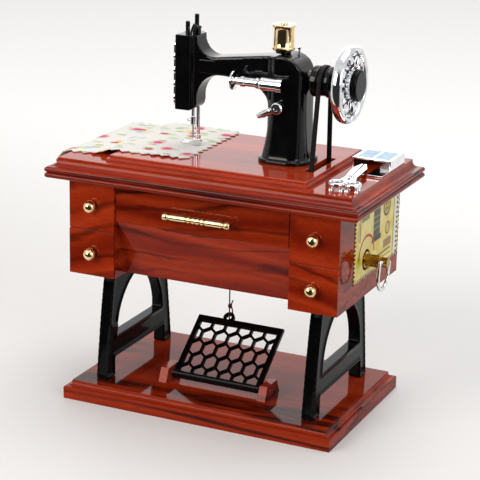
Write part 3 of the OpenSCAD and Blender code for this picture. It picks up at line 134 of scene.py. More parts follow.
# Each board has its own cut of the print. Its light factor is painted light: a board is made lighter or
# darker for how the lamps fall on it and what it mirrors, the bed lightest, the middle drawer front and the
# base darker
boards = {"Long": {"light": 1.12, "shine": 0.18},
          "Bed": {"shift": (50, 30, 0), "veins": 0.35, "light": 1.3, "shine": 0.26},
          "Base": {"shift": (30, 20, 0), "light": 0.9, "shine": 0.1},
          "Front": {"turn": 12, "stretch": 4.0, "shift": (20, 0, 13), "wander": 7.0, "light": 0.8},
          "Apron": {"turn": -9, "stretch": 3.0, "shift": (50, 0, 31), "veins": 0.75, "wander": 9.0,
                    "light": 1.04, "shine": 0.15},
          "Left": {"turn": 48, "stretch": 4.0, "shift": (70, 10, 30), "wander": 5.0},
          "Right": {"turn": -40, "stretch": 4.0, "shift": (110, 20, 50), "wander": 8.0}}


def woodFinish(name, setup):
    material, tree, shader = startFinish(name, Roughness=0.06, IOR=1.5, Specular_IOR_Level=setup["shine"])
    place = addNode(tree, "TexCoord")
    grain = addNode(tree, "Mapping",
                    {"Location": Vector(setup["shift"]) * mm, "Rotation": (0, math.radians(setup["turn"]), 0),
                     "Scale": (1 / setup["stretch"], 1, 1)}, {"Vector": (place, "Object")})
    along = {"Vector": (grain, "Vector")}
    flame = addNode(tree, "TexWave",
                    {"bands_direction": "Z", "Scale": oneWave / (setup["flameSpacing"] * mm),
                     "Distortion": setup["wander"], "Detail": 3.0, "Detail Scale": 1.4}, along)
    ground = addNode(tree, "ValToRGB",
                     {"stops": [(0.0, setup["shade"]), (0.3, setup["ground"]), (0.75, setup["flame"]),
                                (1.0, setup["ground"])]}, {"Fac": (flame, "Fac")})
    vein = addNode(tree, "TexWave",
                   {"bands_direction": "Z", "Scale": oneWave / (setup["veinSpacing"] * mm),
                    "Distortion": setup["wander"] * 1.6, "Detail": 4.0, "Detail Scale": 0.9,
                    "Detail Roughness": 0.55}, along)
    # Only the crests become veins, and a slow noise lets them fade in and out
    thin = addNode(tree, "MapRange", {"From Min": 0.72, "From Max": 1.0}, {"Value": (vein, "Fac")})
    patch = addNode(tree, "TexNoise",
                    {"Scale": 1 / (setup["patchSize"] * mm), "Detail": 2.0}, along)
    where = addNode(tree, "MapRange",
                    {"From Min": 0.36, "From Max": 0.6, "To Max": 0.9 * setup["veins"]},
                    {"Value": (patch, "Fac")})
    dark = addNode(tree, "Math", {"operation": "MULTIPLY"},
                   {0: (thin, "Result"), 1: (where, "Result")})
    veined = addNode(tree, "Mix", {"data_type": "RGBA", 7: linear(setup["vein"])},
                     {"Factor": (dark, "Value"), 6: (ground, "Color")})
    # Pores are drawn along the grain
    pores = addNode(tree, "TexNoise",
                    {"Scale": 1 / (setup["poreSpacing"] * mm), "Detail": 2.0}, along)
    # The board's light factor scales this tone: painted light, lighter or darker per board
    fleck = addNode(tree, "MapRange",
                    {"From Min": 0.35, "From Max": 0.75, "To Min": 0.86 * setup["light"],
                     "To Max": 1.08 * setup["light"]}, {"Value": (pores, "Fac")})
    tone = addNode(tree, "HueSaturation", None, {"Value": (fleck, "Result"), "Color": (veined, 2)})
    ripple = addNode(tree, "TexNoise", {"Scale": 1 / (setup["rippleSize"] * mm), "Detail": 1.0},
                     {"Vector": (place, "Object")})
    bump = addNode(tree, "Bump", {"Strength": 0.02, "Distance": 0.4 * mm},
                   {"Height": (ripple, "Fac")})
    linkUp(tree, shader, {"Base Color": (tone, "Color"), "Normal": (bump, "Normal")})
    return material


# Moulded, plated, filmed and rubber surfaces: a soft cloud shifts the tone and wears the shine, and a fine
# ripple breaks up long reflections. Sizes are in millimetres
surface = {"metallic": 0.0, "ior": 1.5, "shine": 0.5, "wear": (1.0, 1.0), "rippleDetail": 1.0}
# Injection-moulded black ABS: deep, glossy, with a faint flow ripple and dust-fine scuffs
blackAbs = {**surface, "ior": 1.45, "cloudSize": 6.25, "cloudDetail": 4.0, "wear": (0.8, 1.35),
            "tones": ("#050506", "#0b0b0d"), "places": (0.3, 0.75), "rippleSize": 14.3, "ripple": 0.04,
            "rippleHigh": 0.5}
# Vacuum-plated or turned metal: bright, with a slight orange-peel
metal = {**surface, "metallic": 1.0, "cloudSize": 3.85, "cloudDetail": 3.0, "wear": (0.7, 1.4),
         "places": (0.3, 0.65), "rippleSize": 2.5, "ripple": 0.05, "rippleHigh": 0.4}
surfaces = {
    "black": {**blackAbs, "name": "blackAbsPolished", "roughness": 0.08, "shine": 0.38},
    "blackLeg": {**blackAbs, "name": "blackAbsLeg", "roughness": 0.1, "shine": 0.1},
    "blackSatin": {**blackAbs, "name": "blackAbsSatin", "roughness": 0.14, "shine": 0.14},
    "chrome": {**metal, "name": "chromePlate", "tones": ("#d9dbdf", "#f0f1f3"), "roughness": 0.05,
               "rippleSize": 3.0},
    "gold": {**metal, "name": "goldPlate", "tones": ("#e9c486", "#f8deae"), "roughness": 0.06},
    # Pale gold for the handle: partly the plate's own colour, partly painted reflection, made paler for the
    # bright front it mirrors
    "paleGold": {**metal, "name": "paleGoldPlate", "tones": ("#efcd8c", "#fce7b8"), "roughness": 0.2},
    "brass": {**metal, "name": "turnedBrass", "tones": ("#9c7a34", "#c9a24c"), "roughness": 0.25,
              "rippleSize": 1.2, "ripple": 0.12},
    "steel": {**metal, "name": "zincSteel", "tones": ("#8e9195", "#b4b7ba"), "roughness": 0.3,
              "rippleSize": 1.5, "ripple": 0.1},
    # Metallised film, pale blue, faintly crinkled
    "panel": {**surface, "name": "paleBlueFilm", "tones": ("#76a9cc", "#a9cbe0"), "places": (0.35, 0.65),
              "roughness": 0.25, "cloudSize": 2.38, "cloudDetail": 3.0,
              "rippleSize": 2.38, "rippleDetail": 3.0, "ripple": 0.2, "rippleHigh": 0.3},
    # Extruded rubber band: matt black, slightly grey where it rubs
    "rubber": {**surface, "name": "blackRubberBand", "tones": ("#070708", "#0e0e0f"), "places": (0.3, 0.8),
               "roughness": 0.5, "shine": 0.15, "cloudSize": 4.55, "cloudDetail": 5.0,
               "rippleSize": 4.55, "rippleDetail": 5.0, "ripple": 0.15, "rippleHigh": 0.2},
}


def cloudedFinish(setup):
    material, tree, shader = startFinish(setup["name"], Metallic=setup["metallic"], IOR=setup["ior"],
                                         Specular_IOR_Level=setup["shine"])
    place = addNode(tree, "TexCoord")
    cloud = addNode(tree, "TexNoise",
                    {"Scale": 1 / (setup["cloudSize"] * mm), "Detail": setup["cloudDetail"]},
                    {"Vector": (place, "Object")})
    tint = addNode(tree, "ValToRGB", {"stops": list(zip(setup["places"], setup["tones"]))},
                   {"Fac": (cloud, "Fac")})
    least, most = [setup["roughness"] * share for share in setup["wear"]]
    worn = addNode(tree, "MapRange", {"To Min": least, "To Max": most}, {"Value": (cloud, "Fac")})
    ripple = addNode(tree, "TexNoise",
                     {"Scale": 1 / (setup["rippleSize"] * mm), "Detail": setup["rippleDetail"]},
                     {"Vector": (place, "Object")})
    bump = addNode(tree, "Bump", {"Strength": setup["ripple"], "Distance": setup["rippleHigh"] * mm},
                   {"Height": (ripple, "Fac")})
    linkUp(tree, shader, {"Base Color": (tint, "Color"), "Roughness": (worn, "Result"),
                          "Normal": (bump, "Normal")})
    return material


# The same chrome on cast relief, with painted shade: the pockets are painted dark and the tops bright,
# for the shade and dark reflections in the hollows. Floor and top are places along X
reliefPaintedShade = {"floor": 60.35, "top": 61.1, "dark": "#26262a", "bright": "#f0f1f3"}


def reliefMetal(setup):
    material, tree, shader = startFinish("chromeReliefPaintedShade", Metallic=1.0, Roughness=0.08)
    place = addNode(tree, "TexCoord")
    parts = addNode(tree, "SeparateXYZ", None, {"Vector": (place, "Object")})
    height = addNode(tree, "MapRange",
                     {"From Min": setup["floor"] * mm, "From Max": setup["top"] * mm},
                     {"Value": (parts, "X")})
    # Painted shade: darker towards the pocket floor, bright on the raised tops
    tint = addNode(tree, "ValToRGB", {"stops": [(0.05, setup["dark"]), (0.5, setup["bright"])]},
                   {"Fac": (height, "Result")})
    linkUp(tree, shader, {"Base Color": (tint, "Color")})
    return material


# Plain-woven cotton, roller-printed: white ground, scattered blossoms and leaves, in the cloth's own UV. A
# mark's size is a share of its spacing, kept is the share of its spots that are printed, and its shift moves
# and turns its pattern
clothPrint = {
    "ground": "#eeebe5", "threadSpacing": 0.42, "raggedSize": 1.923, "ragged": 2.2, "softEdge": 0.05,
    "slant": 0.7, "turnPerMetre": 30,
    "marks": [{"colour": "#b3c080", "spacing": 14, "size": 0.2, "kept": 0.55, "shift": 0, "long": 2.4},
              {"colour": "#cdd9b6", "spacing": 15, "size": 0.22, "kept": 0.45, "shift": 51, "long": 2.0},
              {"colour": "#f0bcc4", "spacing": 17, "size": 0.22, "kept": 0.62, "shift": 13, "long": 1.0},
              {"colour": "#d9506e", "spacing": 17, "size": 0.14, "kept": 0.62, "shift": 13, "long": 1.0},
              {"colour": "#f0cf6c", "spacing": 19, "size": 0.12, "kept": 0.5, "shift": 31, "long": 1.0},
              {"colour": "#c8333a", "spacing": 23, "size": 0.11, "kept": 0.55, "shift": 63.5, "long": 1.4},
              {"colour": "#b3cae6", "spacing": 20, "size": 0.12, "kept": 0.4, "shift": 47, "long": 1.3}]}


def cottonPrint(setup):
    material, tree, shader = startFinish("printedCotton", Roughness=0.9, Sheen_Weight=0.1)
    place = addNode(tree, "UVMap", {"uv_map": "cut"})
    warp = addNode(tree, "TexNoise", {"Scale": 1 / (setup["raggedSize"] * mm), "Detail": 2.0},
                   {"Vector": (place, "UV")})
    rough = setup["ragged"] * mm
    ragged = addNode(tree, "VectorMath", {"operation": "MULTIPLY_ADD", 1: (rough, rough, 0.0)},
                     {0: (warp, "Color"), 2: (place, "UV")})
    mixed = None
    for mark in setup["marks"]:
        shift = mark["shift"] * mm
        near = mark["size"] - setup["softEdge"]
        far = mark["size"] + setup["softEdge"]
        moved = addNode(tree, "Mapping",
                        {"Location": (shift, shift * setup["slant"], 0.0),
                         "Rotation": (0.0, 0.0, shift * setup["turnPerMetre"]),
                         "Scale": (1.0, mark["long"], 1.0)}, {"Vector": (ragged, "Vector")})
        spots = addNode(tree, "TexVoronoi",
                        {"voronoi_dimensions": "2D", "Scale": 1 / (mark["spacing"] * mm), "Randomness": 0.75},
                        {"Vector": (moved, "Vector")})
        spot = addNode(tree, "MapRange", {"From Min": far, "From Max": near},
                       {"Value": (spots, "Distance")})
        chance = addNode(tree, "SeparateColor", None, {"Color": (spots, "Color")})
        kept = addNode(tree, "Math", {"operation": "LESS_THAN", 1: mark["kept"]},
                       {0: (chance, "Red")})
        mask = addNode(tree, "Math", {"operation": "MULTIPLY"},
                       {0: (spot, "Result"), 1: (kept, "Value")})
        under = {6: (mixed, 2)} if mixed else {}
        mixed = addNode(tree, "Mix",
                        {"data_type": "RGBA", 6: linear(setup["ground"]), 7: linear(mark["colour"])},
                        {"Factor": (mask, "Value"), **under})
    weave = addNode(tree, "TexChecker", {"Scale": 1 / (setup["threadSpacing"] * mm)},
                    {"Vector": (place, "UV")})
    shade = addNode(tree, "MapRange", {"To Min": 0.94, "To Max": 1.0}, {"Value": (weave, "Fac")})
    tone = addNode(tree, "HueSaturation", None, {"Value": (shade, "Result"), "Color": (mixed, 2)})
    bump = addNode(tree, "Bump", {"Strength": 0.25, "Distance": 0.2 * mm},
                   {"Height": (weave, "Fac")})
    linkUp(tree, shader, {"Base Color": (tone, "Color"), "Normal": (bump, "Normal")})
    return material


# Offset-printed card: cream paper under a thin varnish, with its own sewing-box motifs. A mark stands at a
# place along Y and Z. Its size is a bar's half width and half height, a disc's reach, a ring's reach and half
# width, or a row of ticks' half width and pitch
labelPrint = {
    "paper": "#f8e896", "aged": "#e8d05c", "stainSize": 7.69,
    "marks": [
        {"kind": "bar", "at": [(36.2, 98)], "size": (2.6, 19), "colour": "#f1efe4"},
        {"kind": "ticksUp", "at": [(37.6, 98)], "size": (1.1, 2.6), "colour": "#23221f"},
        {"kind": "bar", "at": [(32.6, 98)], "size": (0.4, 19), "colour": "#6f6a3c"},
        {"kind": "bar", "at": [(12, 84.5)], "size": (17, 0.6), "colour": "#8c8040"},
        {"kind": "bar", "at": [(12, 82)], "size": (17, 0.3), "colour": "#8c8040"},
        {"kind": "bar", "at": [(8, 103)], "size": (4.6, 7.5), "colour": "#4d4a3c"},
        {"kind": "bar", "at": [(8, 106), (8, 103), (8, 100)], "size": (4.6, 0.5), "colour": "#8b8468"},
        {"kind": "bar", "at": [(8, 111.5), (8, 94.5)], "size": (6.4, 1.3), "colour": "#2b2a25"},
        {"kind": "disc", "at": [(22, 108)], "size": (5.2, 0), "colour": "#3f3d35"},
        {"kind": "disc", "at": [(22, 108)], "size": (4.0, 0), "colour": "#cdb24a"},
        {"kind": "disc", "at": [(20.6, 109.4), (23.4, 109.4), (20.6, 106.6), (23.4, 106.6)], "size": (0.8, 0),
         "colour": "#3f3d35"},
        {"kind": "disc", "at": [(24, 96)], "size": (3.4, 0), "colour": "#7a5a3a"},
        {"kind": "disc", "at": [(24, 96)], "size": (2.5, 0), "colour": "#d8c25a"},
        {"kind": "bar", "at": [(24, 88.4)], "size": (5.6, 2.2), "colour": "#a5824e"},
        {"kind": "bar", "at": [(-8, 109)], "size": (5.4, 1.2), "colour": "#8a8f4c"},
        {"kind": "bar", "at": [(-13, 113.5)], "size": (5.6, 0.7), "colour": "#74622e"},
        {"kind": "bar", "at": [(-15, 104)], "size": (0.5, 6), "colour": "#5e5a50"},
        {"kind": "bar", "at": [(-17, 104)], "size": (0.35, 5), "colour": "#5e5a50"},
        {"kind": "disc", "at": [(-16, 88)], "size": (3.0, 0), "colour": "#cbbf2c"},
        {"kind": "ring", "at": [(-5.3, 89)], "size": (10.4, 0.7), "colour": "#c8301a"},
        {"kind": "ticksUp", "at": [(-21.2, 98), (40.2, 98)], "size": (0.8, 2.2), "colour": "#1f1d18"},
        {"kind": "ticksAlong", "at": [(10, 78.7)], "size": (0.8, 2.2), "colour": "#1f1d18"}]}


# One where a mark covers the card and nought elsewhere: the product of its tests
def markMask(tree, place, mark, at):
    wide, tall = [size * mm for size in mark["size"]]
    centre = Vector((0.0, *at)) * mm
    offset = addNode(tree, "VectorMath", {"operation": "SUBTRACT", 1: centre},
                     {0: (place, "Object")})
    flat = addNode(tree, "VectorMath", {"operation": "MULTIPLY", 1: (0.0, 1.0, 1.0)},
                   {0: (offset, "Vector")})
    reach = addNode(tree, "VectorMath", {"operation": "LENGTH"}, {0: (flat, "Vector")})
    parts = addNode(tree, "SeparateXYZ", None, {"Vector": (flat, "Vector")})
    if mark["kind"] == "disc":
        tests = [({"operation": "LESS_THAN", 1: wide}, (reach, "Value"))]
    elif mark["kind"] == "ring":
        tests = [({"operation": "COMPARE", 1: wide, 2: tall}, (reach, "Value")),
                 ({"operation": "GREATER_THAN", 1: 0.0}, (parts, "Z"))]
    elif mark["kind"] == "bar":
        tests = [({"operation": "COMPARE", 1: 0.0, 2: wide}, (parts, "Y")),
                 ({"operation": "COMPARE", 1: 0.0, 2: tall}, (parts, "Z"))]
    else:
        across, along = ("Y", "Z") if mark["kind"] == "ticksUp" else ("Z", "Y")
        saw = addNode(tree, "Math", {"operation": "PINGPONG", 1: tall / 2}, {0: (parts, along)})
        tests = [({"operation": "COMPARE", 1: 0.0, 2: wide}, (parts, across)),
                 ({"operation": "LESS_THAN", 1: tall / 4}, (saw, "Value"))]
    masks = [addNode(tree, "Math", settings, {0: source}) for settings, source in tests]
    mask = masks[0]
    for other in masks[1:]:
        mask = addNode(tree, "Math", {"operation": "MULTIPLY"},
                       {0: (mask, "Value"), 1: (other, "Value")})
    return mask


def cardPrint(setup):
    material, tree, shader = startFinish("printedCard", Roughness=0.35, Specular_IOR_Level=0.2)
    place = addNode(tree, "TexCoord")
    stain = addNode(tree, "TexNoise", {"Scale": 1 / (setup["stainSize"] * mm), "Detail": 4.0},
                    {"Vector": (place, "Object")})
    paper = addNode(tree, "ValToRGB", {"stops": [(0.35, setup["aged"]), (0.6, setup["paper"])]},
                    {"Fac": (stain, "Fac")})
    under = (paper, "Color")
    for mark in setup["marks"]:
        for at in mark["at"]:
            mask = markMask(tree, place, mark, at)
            mixed = addNode(tree, "Mix", {"data_type": "RGBA", 7: linear(mark["colour"])},
                            {"Factor": (mask, "Value"), 6: under})
            under = (mixed, 2)
    linkUp(tree, shader, {"Base Color": under})
    return material


# Twisted sewing thread: fine diagonal strands
threadSetup = {"deep": "#36090d", "light": "#6b2026", "strandSpacing": 0.5, "lean": (0, 35, 20)}


def twistedThread(setup):
    material, tree, shader = startFinish("maroonThread", Roughness=0.8, Sheen_Weight=0.2)
    place = addNode(tree, "TexCoord")
    lean = addNode(tree, "Mapping", {"Rotation": [math.radians(t) for t in setup["lean"]]},
                   {"Vector": (place, "Object")})
    strand = addNode(tree, "TexWave",
                     {"bands_direction": "Z", "Scale": oneWave / (setup["strandSpacing"] * mm)},
                     {"Vector": (lean, "Vector")})
    tint = addNode(tree, "ValToRGB", {"stops": [(0.1, setup["deep"]), (0.8, setup["light"])]},
                   {"Fac": (strand, "Fac")})
    bump = addNode(tree, "Bump", {"Strength": 0.5, "Distance": 0.2 * mm},
                   {"Height": (strand, "Fac")})
    linkUp(tree, shader, {"Base Color": (tint, "Color"), "Normal": (bump, "Normal")})
    return material


finishes = {"relief": reliefMetal(reliefPaintedShade), "cotton": cottonPrint(clothPrint),
            "card": cardPrint(labelPrint), "thread": twistedThread(threadSetup)}
for board, grainCut in boards.items():
    finishes["wood" + board] = woodFinish("rosewoodPrint" + board, {**woodPrint, **grainCut})
for key, setup in surfaces.items():
    finishes[key] = cloudedFinish(setup)
print("finishes made")


def onlySelect(obj):
    bpy.ops.object.select_all(action="DESELECT")
    obj.select_set(True)
    bpy.context.view_layer.objects.active = obj


def settle(obj, finish):
    obj.data.materials.clear()
    obj.data.materials.append(finishes[finish])


# A new primitive, alone in the selection, with its place in its mesh
def startPiece(add, **settings):
    bpy.ops.object.select_all(action="DESELECT")
    add(**settings)
    bpy.ops.object.transform_apply(location=True, rotation=True, scale=True)
    return bpy.context.object


# Selects faces by a test of their place or normal, and stays in edit mode
def pickFaces(piece, wanted):
    bpy.ops.object.mode_set(mode="EDIT")
    bpy.ops.mesh.select_mode(type="FACE")
    bpy.ops.mesh.select_all(action="DESELECT")
    bpy.ops.object.mode_set(mode="OBJECT")
    for face in piece.data.polygons:
        face.select = wanted(face)
    bpy.ops.object.mode_set(mode="EDIT")


def stretchAll(value, centre):
    bpy.ops.object.mode_set(mode="EDIT")
    bpy.ops.mesh.select_all(action="SELECT")
    bpy.ops.transform.resize(value=value, center_override=centre)


def reshape(piece, kind, **settings):
    change = piece.modifiers.new("reshape", kind)
    for key, value in settings.items():
        setattr(change, key, value)
    bpy.ops.object.modifier_apply(modifier=change.name)


def finishPiece(piece, name, finish, body):
    piece.name = name
    bpy.ops.object.mode_set(mode="OBJECT")
    bpy.ops.object.transform_apply(location=True, rotation=True, scale=True)
    bpy.ops.object.shade_smooth_by_angle(angle=math.radians(35))
    settle(piece, finish)
    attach(piece, body)


# Faces that look one way are set in from their edge, which leaves a raised rim. A panel says how squarely
# they look that way, how far out they lie and their least area in square millimetres
def sinkPanel(piece, panel):
    way = Vector(panel["faces"])

    def wanted(face):
        isOut = face.center.dot(way) / mm > panel["past"]
        return isOut and face.normal.dot(way) > panel["within"] and face.area > panel["least"] * mm * mm

    pickFaces(piece, wanted)
    bpy.ops.mesh.inset(thickness=panel["rim"] * mm, depth=-panel["depth"] * mm, use_even_offset=True)
    bpy.ops.object.mode_set(mode="OBJECT")


# A merged copy of a CAD node
def copyNode(name):
    piece = bpy.data.objects.new(name + ".dressed", nodes[name].data.copy())
    scene.collection.objects.link(piece)
    onlySelect(piece)
    bpy.ops.object.mode_set(mode="EDIT")
    bpy.ops.mesh.select_all(action="SELECT")
    bpy.ops.mesh.remove_doubles(threshold=2e-6)
    bpy.ops.mesh.dissolve_limited(angle_limit=math.radians(0.6))
    bpy.ops.object.mode_set(mode="OBJECT")
    return piece


def placeNode(piece, name, finish):
    settle(piece, finish)
    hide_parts(name)
    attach(piece, bodyOf[name])


def boreHole(piece, hole):
    drill = startPiece(bpy.ops.mesh.primitive_cylinder_add, vertices=64, radius=hole["reach"] * mm,
                       depth=hole["deep"] * mm, location=Vector(hole["at"]) * mm,
                       rotation=(0, math.radians(hole["turn"]), 0))
    onlySelect(piece)
    reshape(piece, "BOOLEAN", operation="DIFFERENCE", solver="EXACT", object=drill)
    bpy.data.objects.remove(drill, do_unlink=True)


# Edges eased as a mould eases them, wherever they turn by more than the limit
easeSetup = {"crease": 30, "limit": 32, "segments": 2}


def dressNode(name, finish, ease, bored, setup):
    piece = copyNode(name)
    for hole in bored:
        boreHole(piece, hole)
    bpy.ops.object.shade_smooth_by_angle(angle=math.radians(setup["crease"]))
    if ease:
        reshape(piece, "BEVEL", width=ease * mm, segments=setup["segments"], limit_method="ANGLE",
                angle_limit=math.radians(setup["limit"]))
        bpy.ops.object.shade_smooth()
        reshape(piece, "WEIGHTED_NORMAL", mode="FACE_AREA", weight=50)
    placeNode(piece, name, finish)


# Softly rounded mouldings: the arm past its neck and above its foot, the leg frames all over
softSetup = {"grid": 0.5, "pull": 0.5, "ramp": 7, "least": 0.1, "crease": 60}
armSetup = {**softSetup, "rounds": 24, "neck": -17, "foot": 139}
legSetup = {**softSetup, "rounds": 7, "neck": -100, "foot": -100}


def dressSoft(name, finish, setup, sunk=(), bored=()):
    piece = copyNode(name)
    for panel in sunk:
        sinkPanel(piece, panel)
    reshape(piece, "REMESH", mode="VOXEL", voxel_size=setup["grid"] * mm)
    softness = piece.vertex_groups.new(name="softness")
    for vertex in piece.data.vertices:
        along = (vertex.co.x / mm - setup["neck"]) / setup["ramp"]
        above = (vertex.co.z / mm - setup["foot"]) / setup["ramp"]
        share = min(1.0, max(setup["least"], min(along, above)))
        softness.add([vertex.index], share, "REPLACE")
    reshape(piece, "SMOOTH", factor=setup["pull"], iterations=setup["rounds"], vertex_group=softness.name)
    for hole in bored:
        boreHole(piece, hole)
    bpy.ops.object.shade_smooth_by_angle(angle=math.radians(setup["crease"]))
    placeNode(piece, name, finish)


# Treadle cord: from the crank in the cabinet, down through the eye and back up to its knot, a wrapped lump
# round the cord and its loose end
cordSetup = {"diameter": 0.7,
             "knot": {"at": (-7.75, 12.3, 43.4), "wrap": 0.651, "strand": 0.525, "stretch": (1.0, 1.25, 1.3),
                      "lean": 24, "cross": 70},
             "route": [(-7.8, 11.8, 100.9), (-7.8, 11.8, 92), (-7.8, 11.8, 84), (-7.8, 11.8, 76),
                       (-7.8, 11.8, 68), (-7.8, 11.8, 60), (-7.8, 11.8, 52), (-7.8, 11.8, 46),
                       (-7.8, 11.8, 42), (-7.8, 11.8, 39), (-7.8, 11.8, 36), (-7.8, 12, 34.6),
                       (-7.8, 12.8, 33.8), (-7.8, 14, 34.4), (-7.8, 15.2, 36), (-7.8, 15.8, 38),
                       (-7.7, 15.4, 40), (-7.6, 14.4, 41.6), (-7.5, 13.3, 43), (-7.2, 13.1, 44.6),
                       (-6.6, 13.6, 46.4)]}


def makeKnot(setup):
    centre = Vector(setup["at"]) * mm
    knot = startPiece(bpy.ops.mesh.primitive_torus_add, major_radius=setup["wrap"] * mm,
                      minor_radius=setup["strand"] * mm, major_segments=20, minor_segments=10,
                      location=centre)
    knot.name = "treadleKnot"
    stretchAll(setup["stretch"], centre)
    bpy.ops.transform.rotate(value=math.radians(setup["lean"]), orient_axis="X", center_override=centre)
    bpy.ops.mesh.duplicate()
    bpy.ops.transform.rotate(value=math.radians(setup["cross"]), orient_axis="X", center_override=centre)
    bpy.ops.object.mode_set(mode="OBJECT")
    bpy.ops.object.shade_smooth()
    return knot


def makeCord(setup):
    route = [Vector(place) * mm for place in setup["route"]]
    data = bpy.data.curves.new("treadleThread", "CURVE")
    data.dimensions = "3D"
    data.bevel_depth = setup["diameter"] / 2 * mm
    data.bevel_resolution = 3
    data.resolution_u = 6
    data.use_fill_caps = True
    line = data.splines.new("BEZIER")
    line.bezier_points.add(len(route) - 1)
    for point, place in zip(line.bezier_points, route):
        point.co = place
        point.handle_left_type = "AUTO"
        point.handle_right_type = "AUTO"
    cord = bpy.data.objects.new("treadleThread", data)
    scene.collection.objects.link(cord)
    knot = makeKnot(setup["knot"])
    for piece in (cord, knot):
        settle(piece, "thread")
        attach(piece, "cord")
    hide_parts("treadle_cord")


makeCord(cordSetup)


# Cloth: over the bed and the table and off the left end, cut with pinking shears. It hangs in waves, and its
# front edge lies in slow ripples, a little off the table
clothSetup = {"front": -27, "back": 40, "spread": 5, "thickness": 0.4, "lift": 0.35, "columns": 168,
              "rows": 156, "pinkPitch": 5.5, "pinkDepth": 2.8, "pinkReach": 8,
              "hangFrom": 0.8, "waveOut": 0.9, "waveRate": 0.16, "waveStart": 0.6,
              "rippleHigh": 0.3, "rippleRate": 0.21, "rippleSlant": 0.05, "rippleReach": 16,
              "path": [(-14.6, 131.3), (-24, 131.3), (-34, 131.3), (-45, 131.3), (-55, 131.3), (-58.5, 130.6),
                       (-62, 129.4), (-66, 128.5), (-74, 128.3), (-79.9, 128.25), (-83.0, 127.5),
                       (-85.3, 125.2), (-86.1, 121.8), (-86.9, 117.9), (-88.3, 113.9)]}


# How far a tooth of the pinked edge sets the cloth back, fading out away from the edge
def pinkTooth(place, inside, setup):
    tooth = abs((place / setup["pinkPitch"]) % 1 - 0.5) * 2 * setup["pinkDepth"]
    return tooth * max(0.0, 1 - inside / setup["pinkReach"])


def makeCloth(setup):
    path = [Vector((p[0], 0, p[1])) for p in setup["path"]]
    lengths = [0.0]
    for a, b in zip(path, path[1:]):
        lengths.append(lengths[-1] + (b - a).length)
    total = lengths[-1]
    cloth = startPiece(bpy.ops.mesh.primitive_grid_add, x_subdivisions=setup["columns"],
                       y_subdivisions=setup["rows"], size=1)
    cloth.name = "flowerCloth"
    layer = cloth.data.uv_layers.new(name="cut")
    flat = {}
    for vertex in cloth.data.vertices:
        across = vertex.co.y + 0.5
        along = (vertex.co.x + 0.5) * total
        flare = setup["spread"] * along / total
        width = setup["back"] - setup["front"] + 2 * flare
        side = setup["front"] - flare + width * across
        ends = pinkTooth(side, along, setup) - pinkTooth(side, total - along, setup)
        side += pinkTooth(along, width * across, setup) - pinkTooth(along, width * (1 - across), setup)
        along += ends
        part = max(k for k in range(len(path) - 1) if lengths[k] <= along + 1e-9)
        step = (path[part + 1] - path[part]).normalized()
        normal = Vector((step.z, 0, -step.x))
        hang = max(0.0, (along / total - setup["hangFrom"]) / (1 - setup["hangFrom"]))
        wave = hang * (1 + math.sin(side * setup["waveRate"] + setup["waveStart"])) * setup["waveOut"]
        crest = 1 + math.sin(along * setup["rippleRate"] + side * setup["rippleSlant"])
        fade = max(0.0, 1 - (side - setup["front"]) / setup["rippleReach"])
        lift = setup["lift"] + setup["rippleHigh"] * crest * fade
        place = path[part] + step * (along - lengths[part]) + normal * lift
        vertex.co = (place + Vector((-wave, side, 0))) * mm
        flat[vertex.index] = (along * mm, side * mm)
    for loop in cloth.data.loops:
        layer.data[loop.index].uv = flat[loop.vertex_index]
    reshape(cloth, "SOLIDIFY", thickness=setup["thickness"] * mm, offset=0)
    bpy.ops.object.shade_smooth_by_angle(angle=math.radians(40))
    settle(cloth, "cotton")
    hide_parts("fabric")
    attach(cloth, "stand")


makeCloth(clothSetup)


# Rigid pieces that keep their CAD shape with eased edges
eased = {
    "woodBed": {"machine_bed": 0.3},
    "woodLong": {"table_top": 0.25, "left_treadle_bracket": 0.4, "right_treadle_bracket": 0.4},
    "woodBase": {"base_plinth": 0.5},
    "woodApron": {"cabinet_body": 0.4},
    "woodFront": {"middle_drawer_front": 0.3},
    "woodLeft": {"left_upper_drawer_front": 0.3, "left_lower_drawer_front": 0.3},
    "woodRight": {"right_upper_drawer_front": 0.3, "right_lower_drawer_front": 0.3},
    "card": {"side_label": 0.0},
    "black": {"needle_bar_cap": 0.2, "presser_screw": 0.2, "spool_pin": 0.2, "upper_pulley": 0.4},
    "blackSatin": {"treadle": 0.25, "wheel_cap": 0.5},
    "chrome": {"scissors": 0.25, "sewing_box": 0.2, "face_plate": 0.3, "face_plate_knob": 0.1,
               "needle_bar": 0.15, "needle_clamp": 0.2, "presser_bar": 0.15, "presser_foot": 0.2,
               "tension_post": 0.15, "stitch_lever": 0.15, "guide_pin": 0.0, "key_loop": 0.0},
    "paleGold": {"drawer_handle": 0.12},
    "gold": {"drawer_knobs": 0.1},
    "brass": {"winding_stem": 0.2},
    "rubber": {"drive_belt": 0.3},
}
# The winding stem stands in a wider round hole, through the label and the cabinet's side
stemHole = {"at": (73.5, *stemAxis), "reach": 5.4, "deep": 9, "turn": 90}
boredIn = {"cabinet_body": [stemHole], "side_label": [stemHole]}
for finish, group in eased.items():
    for name, ease in group.items():
        dressNode(name, finish, ease, boredIn.get(name, ()), easeSetup)
    print("eased", finish, len(group))

# The arm's shaft and needle bar run clear in their bores
armBores = [{"at": (9.5, *wheelAxis), "reach": 1.9, "deep": 67, "turn": 90},
            {"at": (-25.6, 1.5, 160.5), "reach": 1.35, "deep": 41, "turn": 0}]
dressSoft("machine_arm", "black", armSetup, (), armBores)
# The leg frames are moulded with a raised rim round their front and back strips and their sides
legStrip = {"within": 0.85, "past": 22, "least": 4, "rim": 1.6, "depth": 0.6}
legSide = {"within": 0.995, "past": -100, "least": 60, "rim": 2.0, "depth": 1.1}
legPanels = [{"faces": (0, -1, 0), **legStrip}, {"faces": (0, 1, 0), **legStrip},
             {"faces": (1, 0, 0), **legSide}, {"faces": (-1, 0, 0), **legSide}]
for name in ("left_leg_frame", "right_leg_frame"):
    dressSoft(name, "blackLeg", legSetup, legPanels)
print("arm and legs rounded")


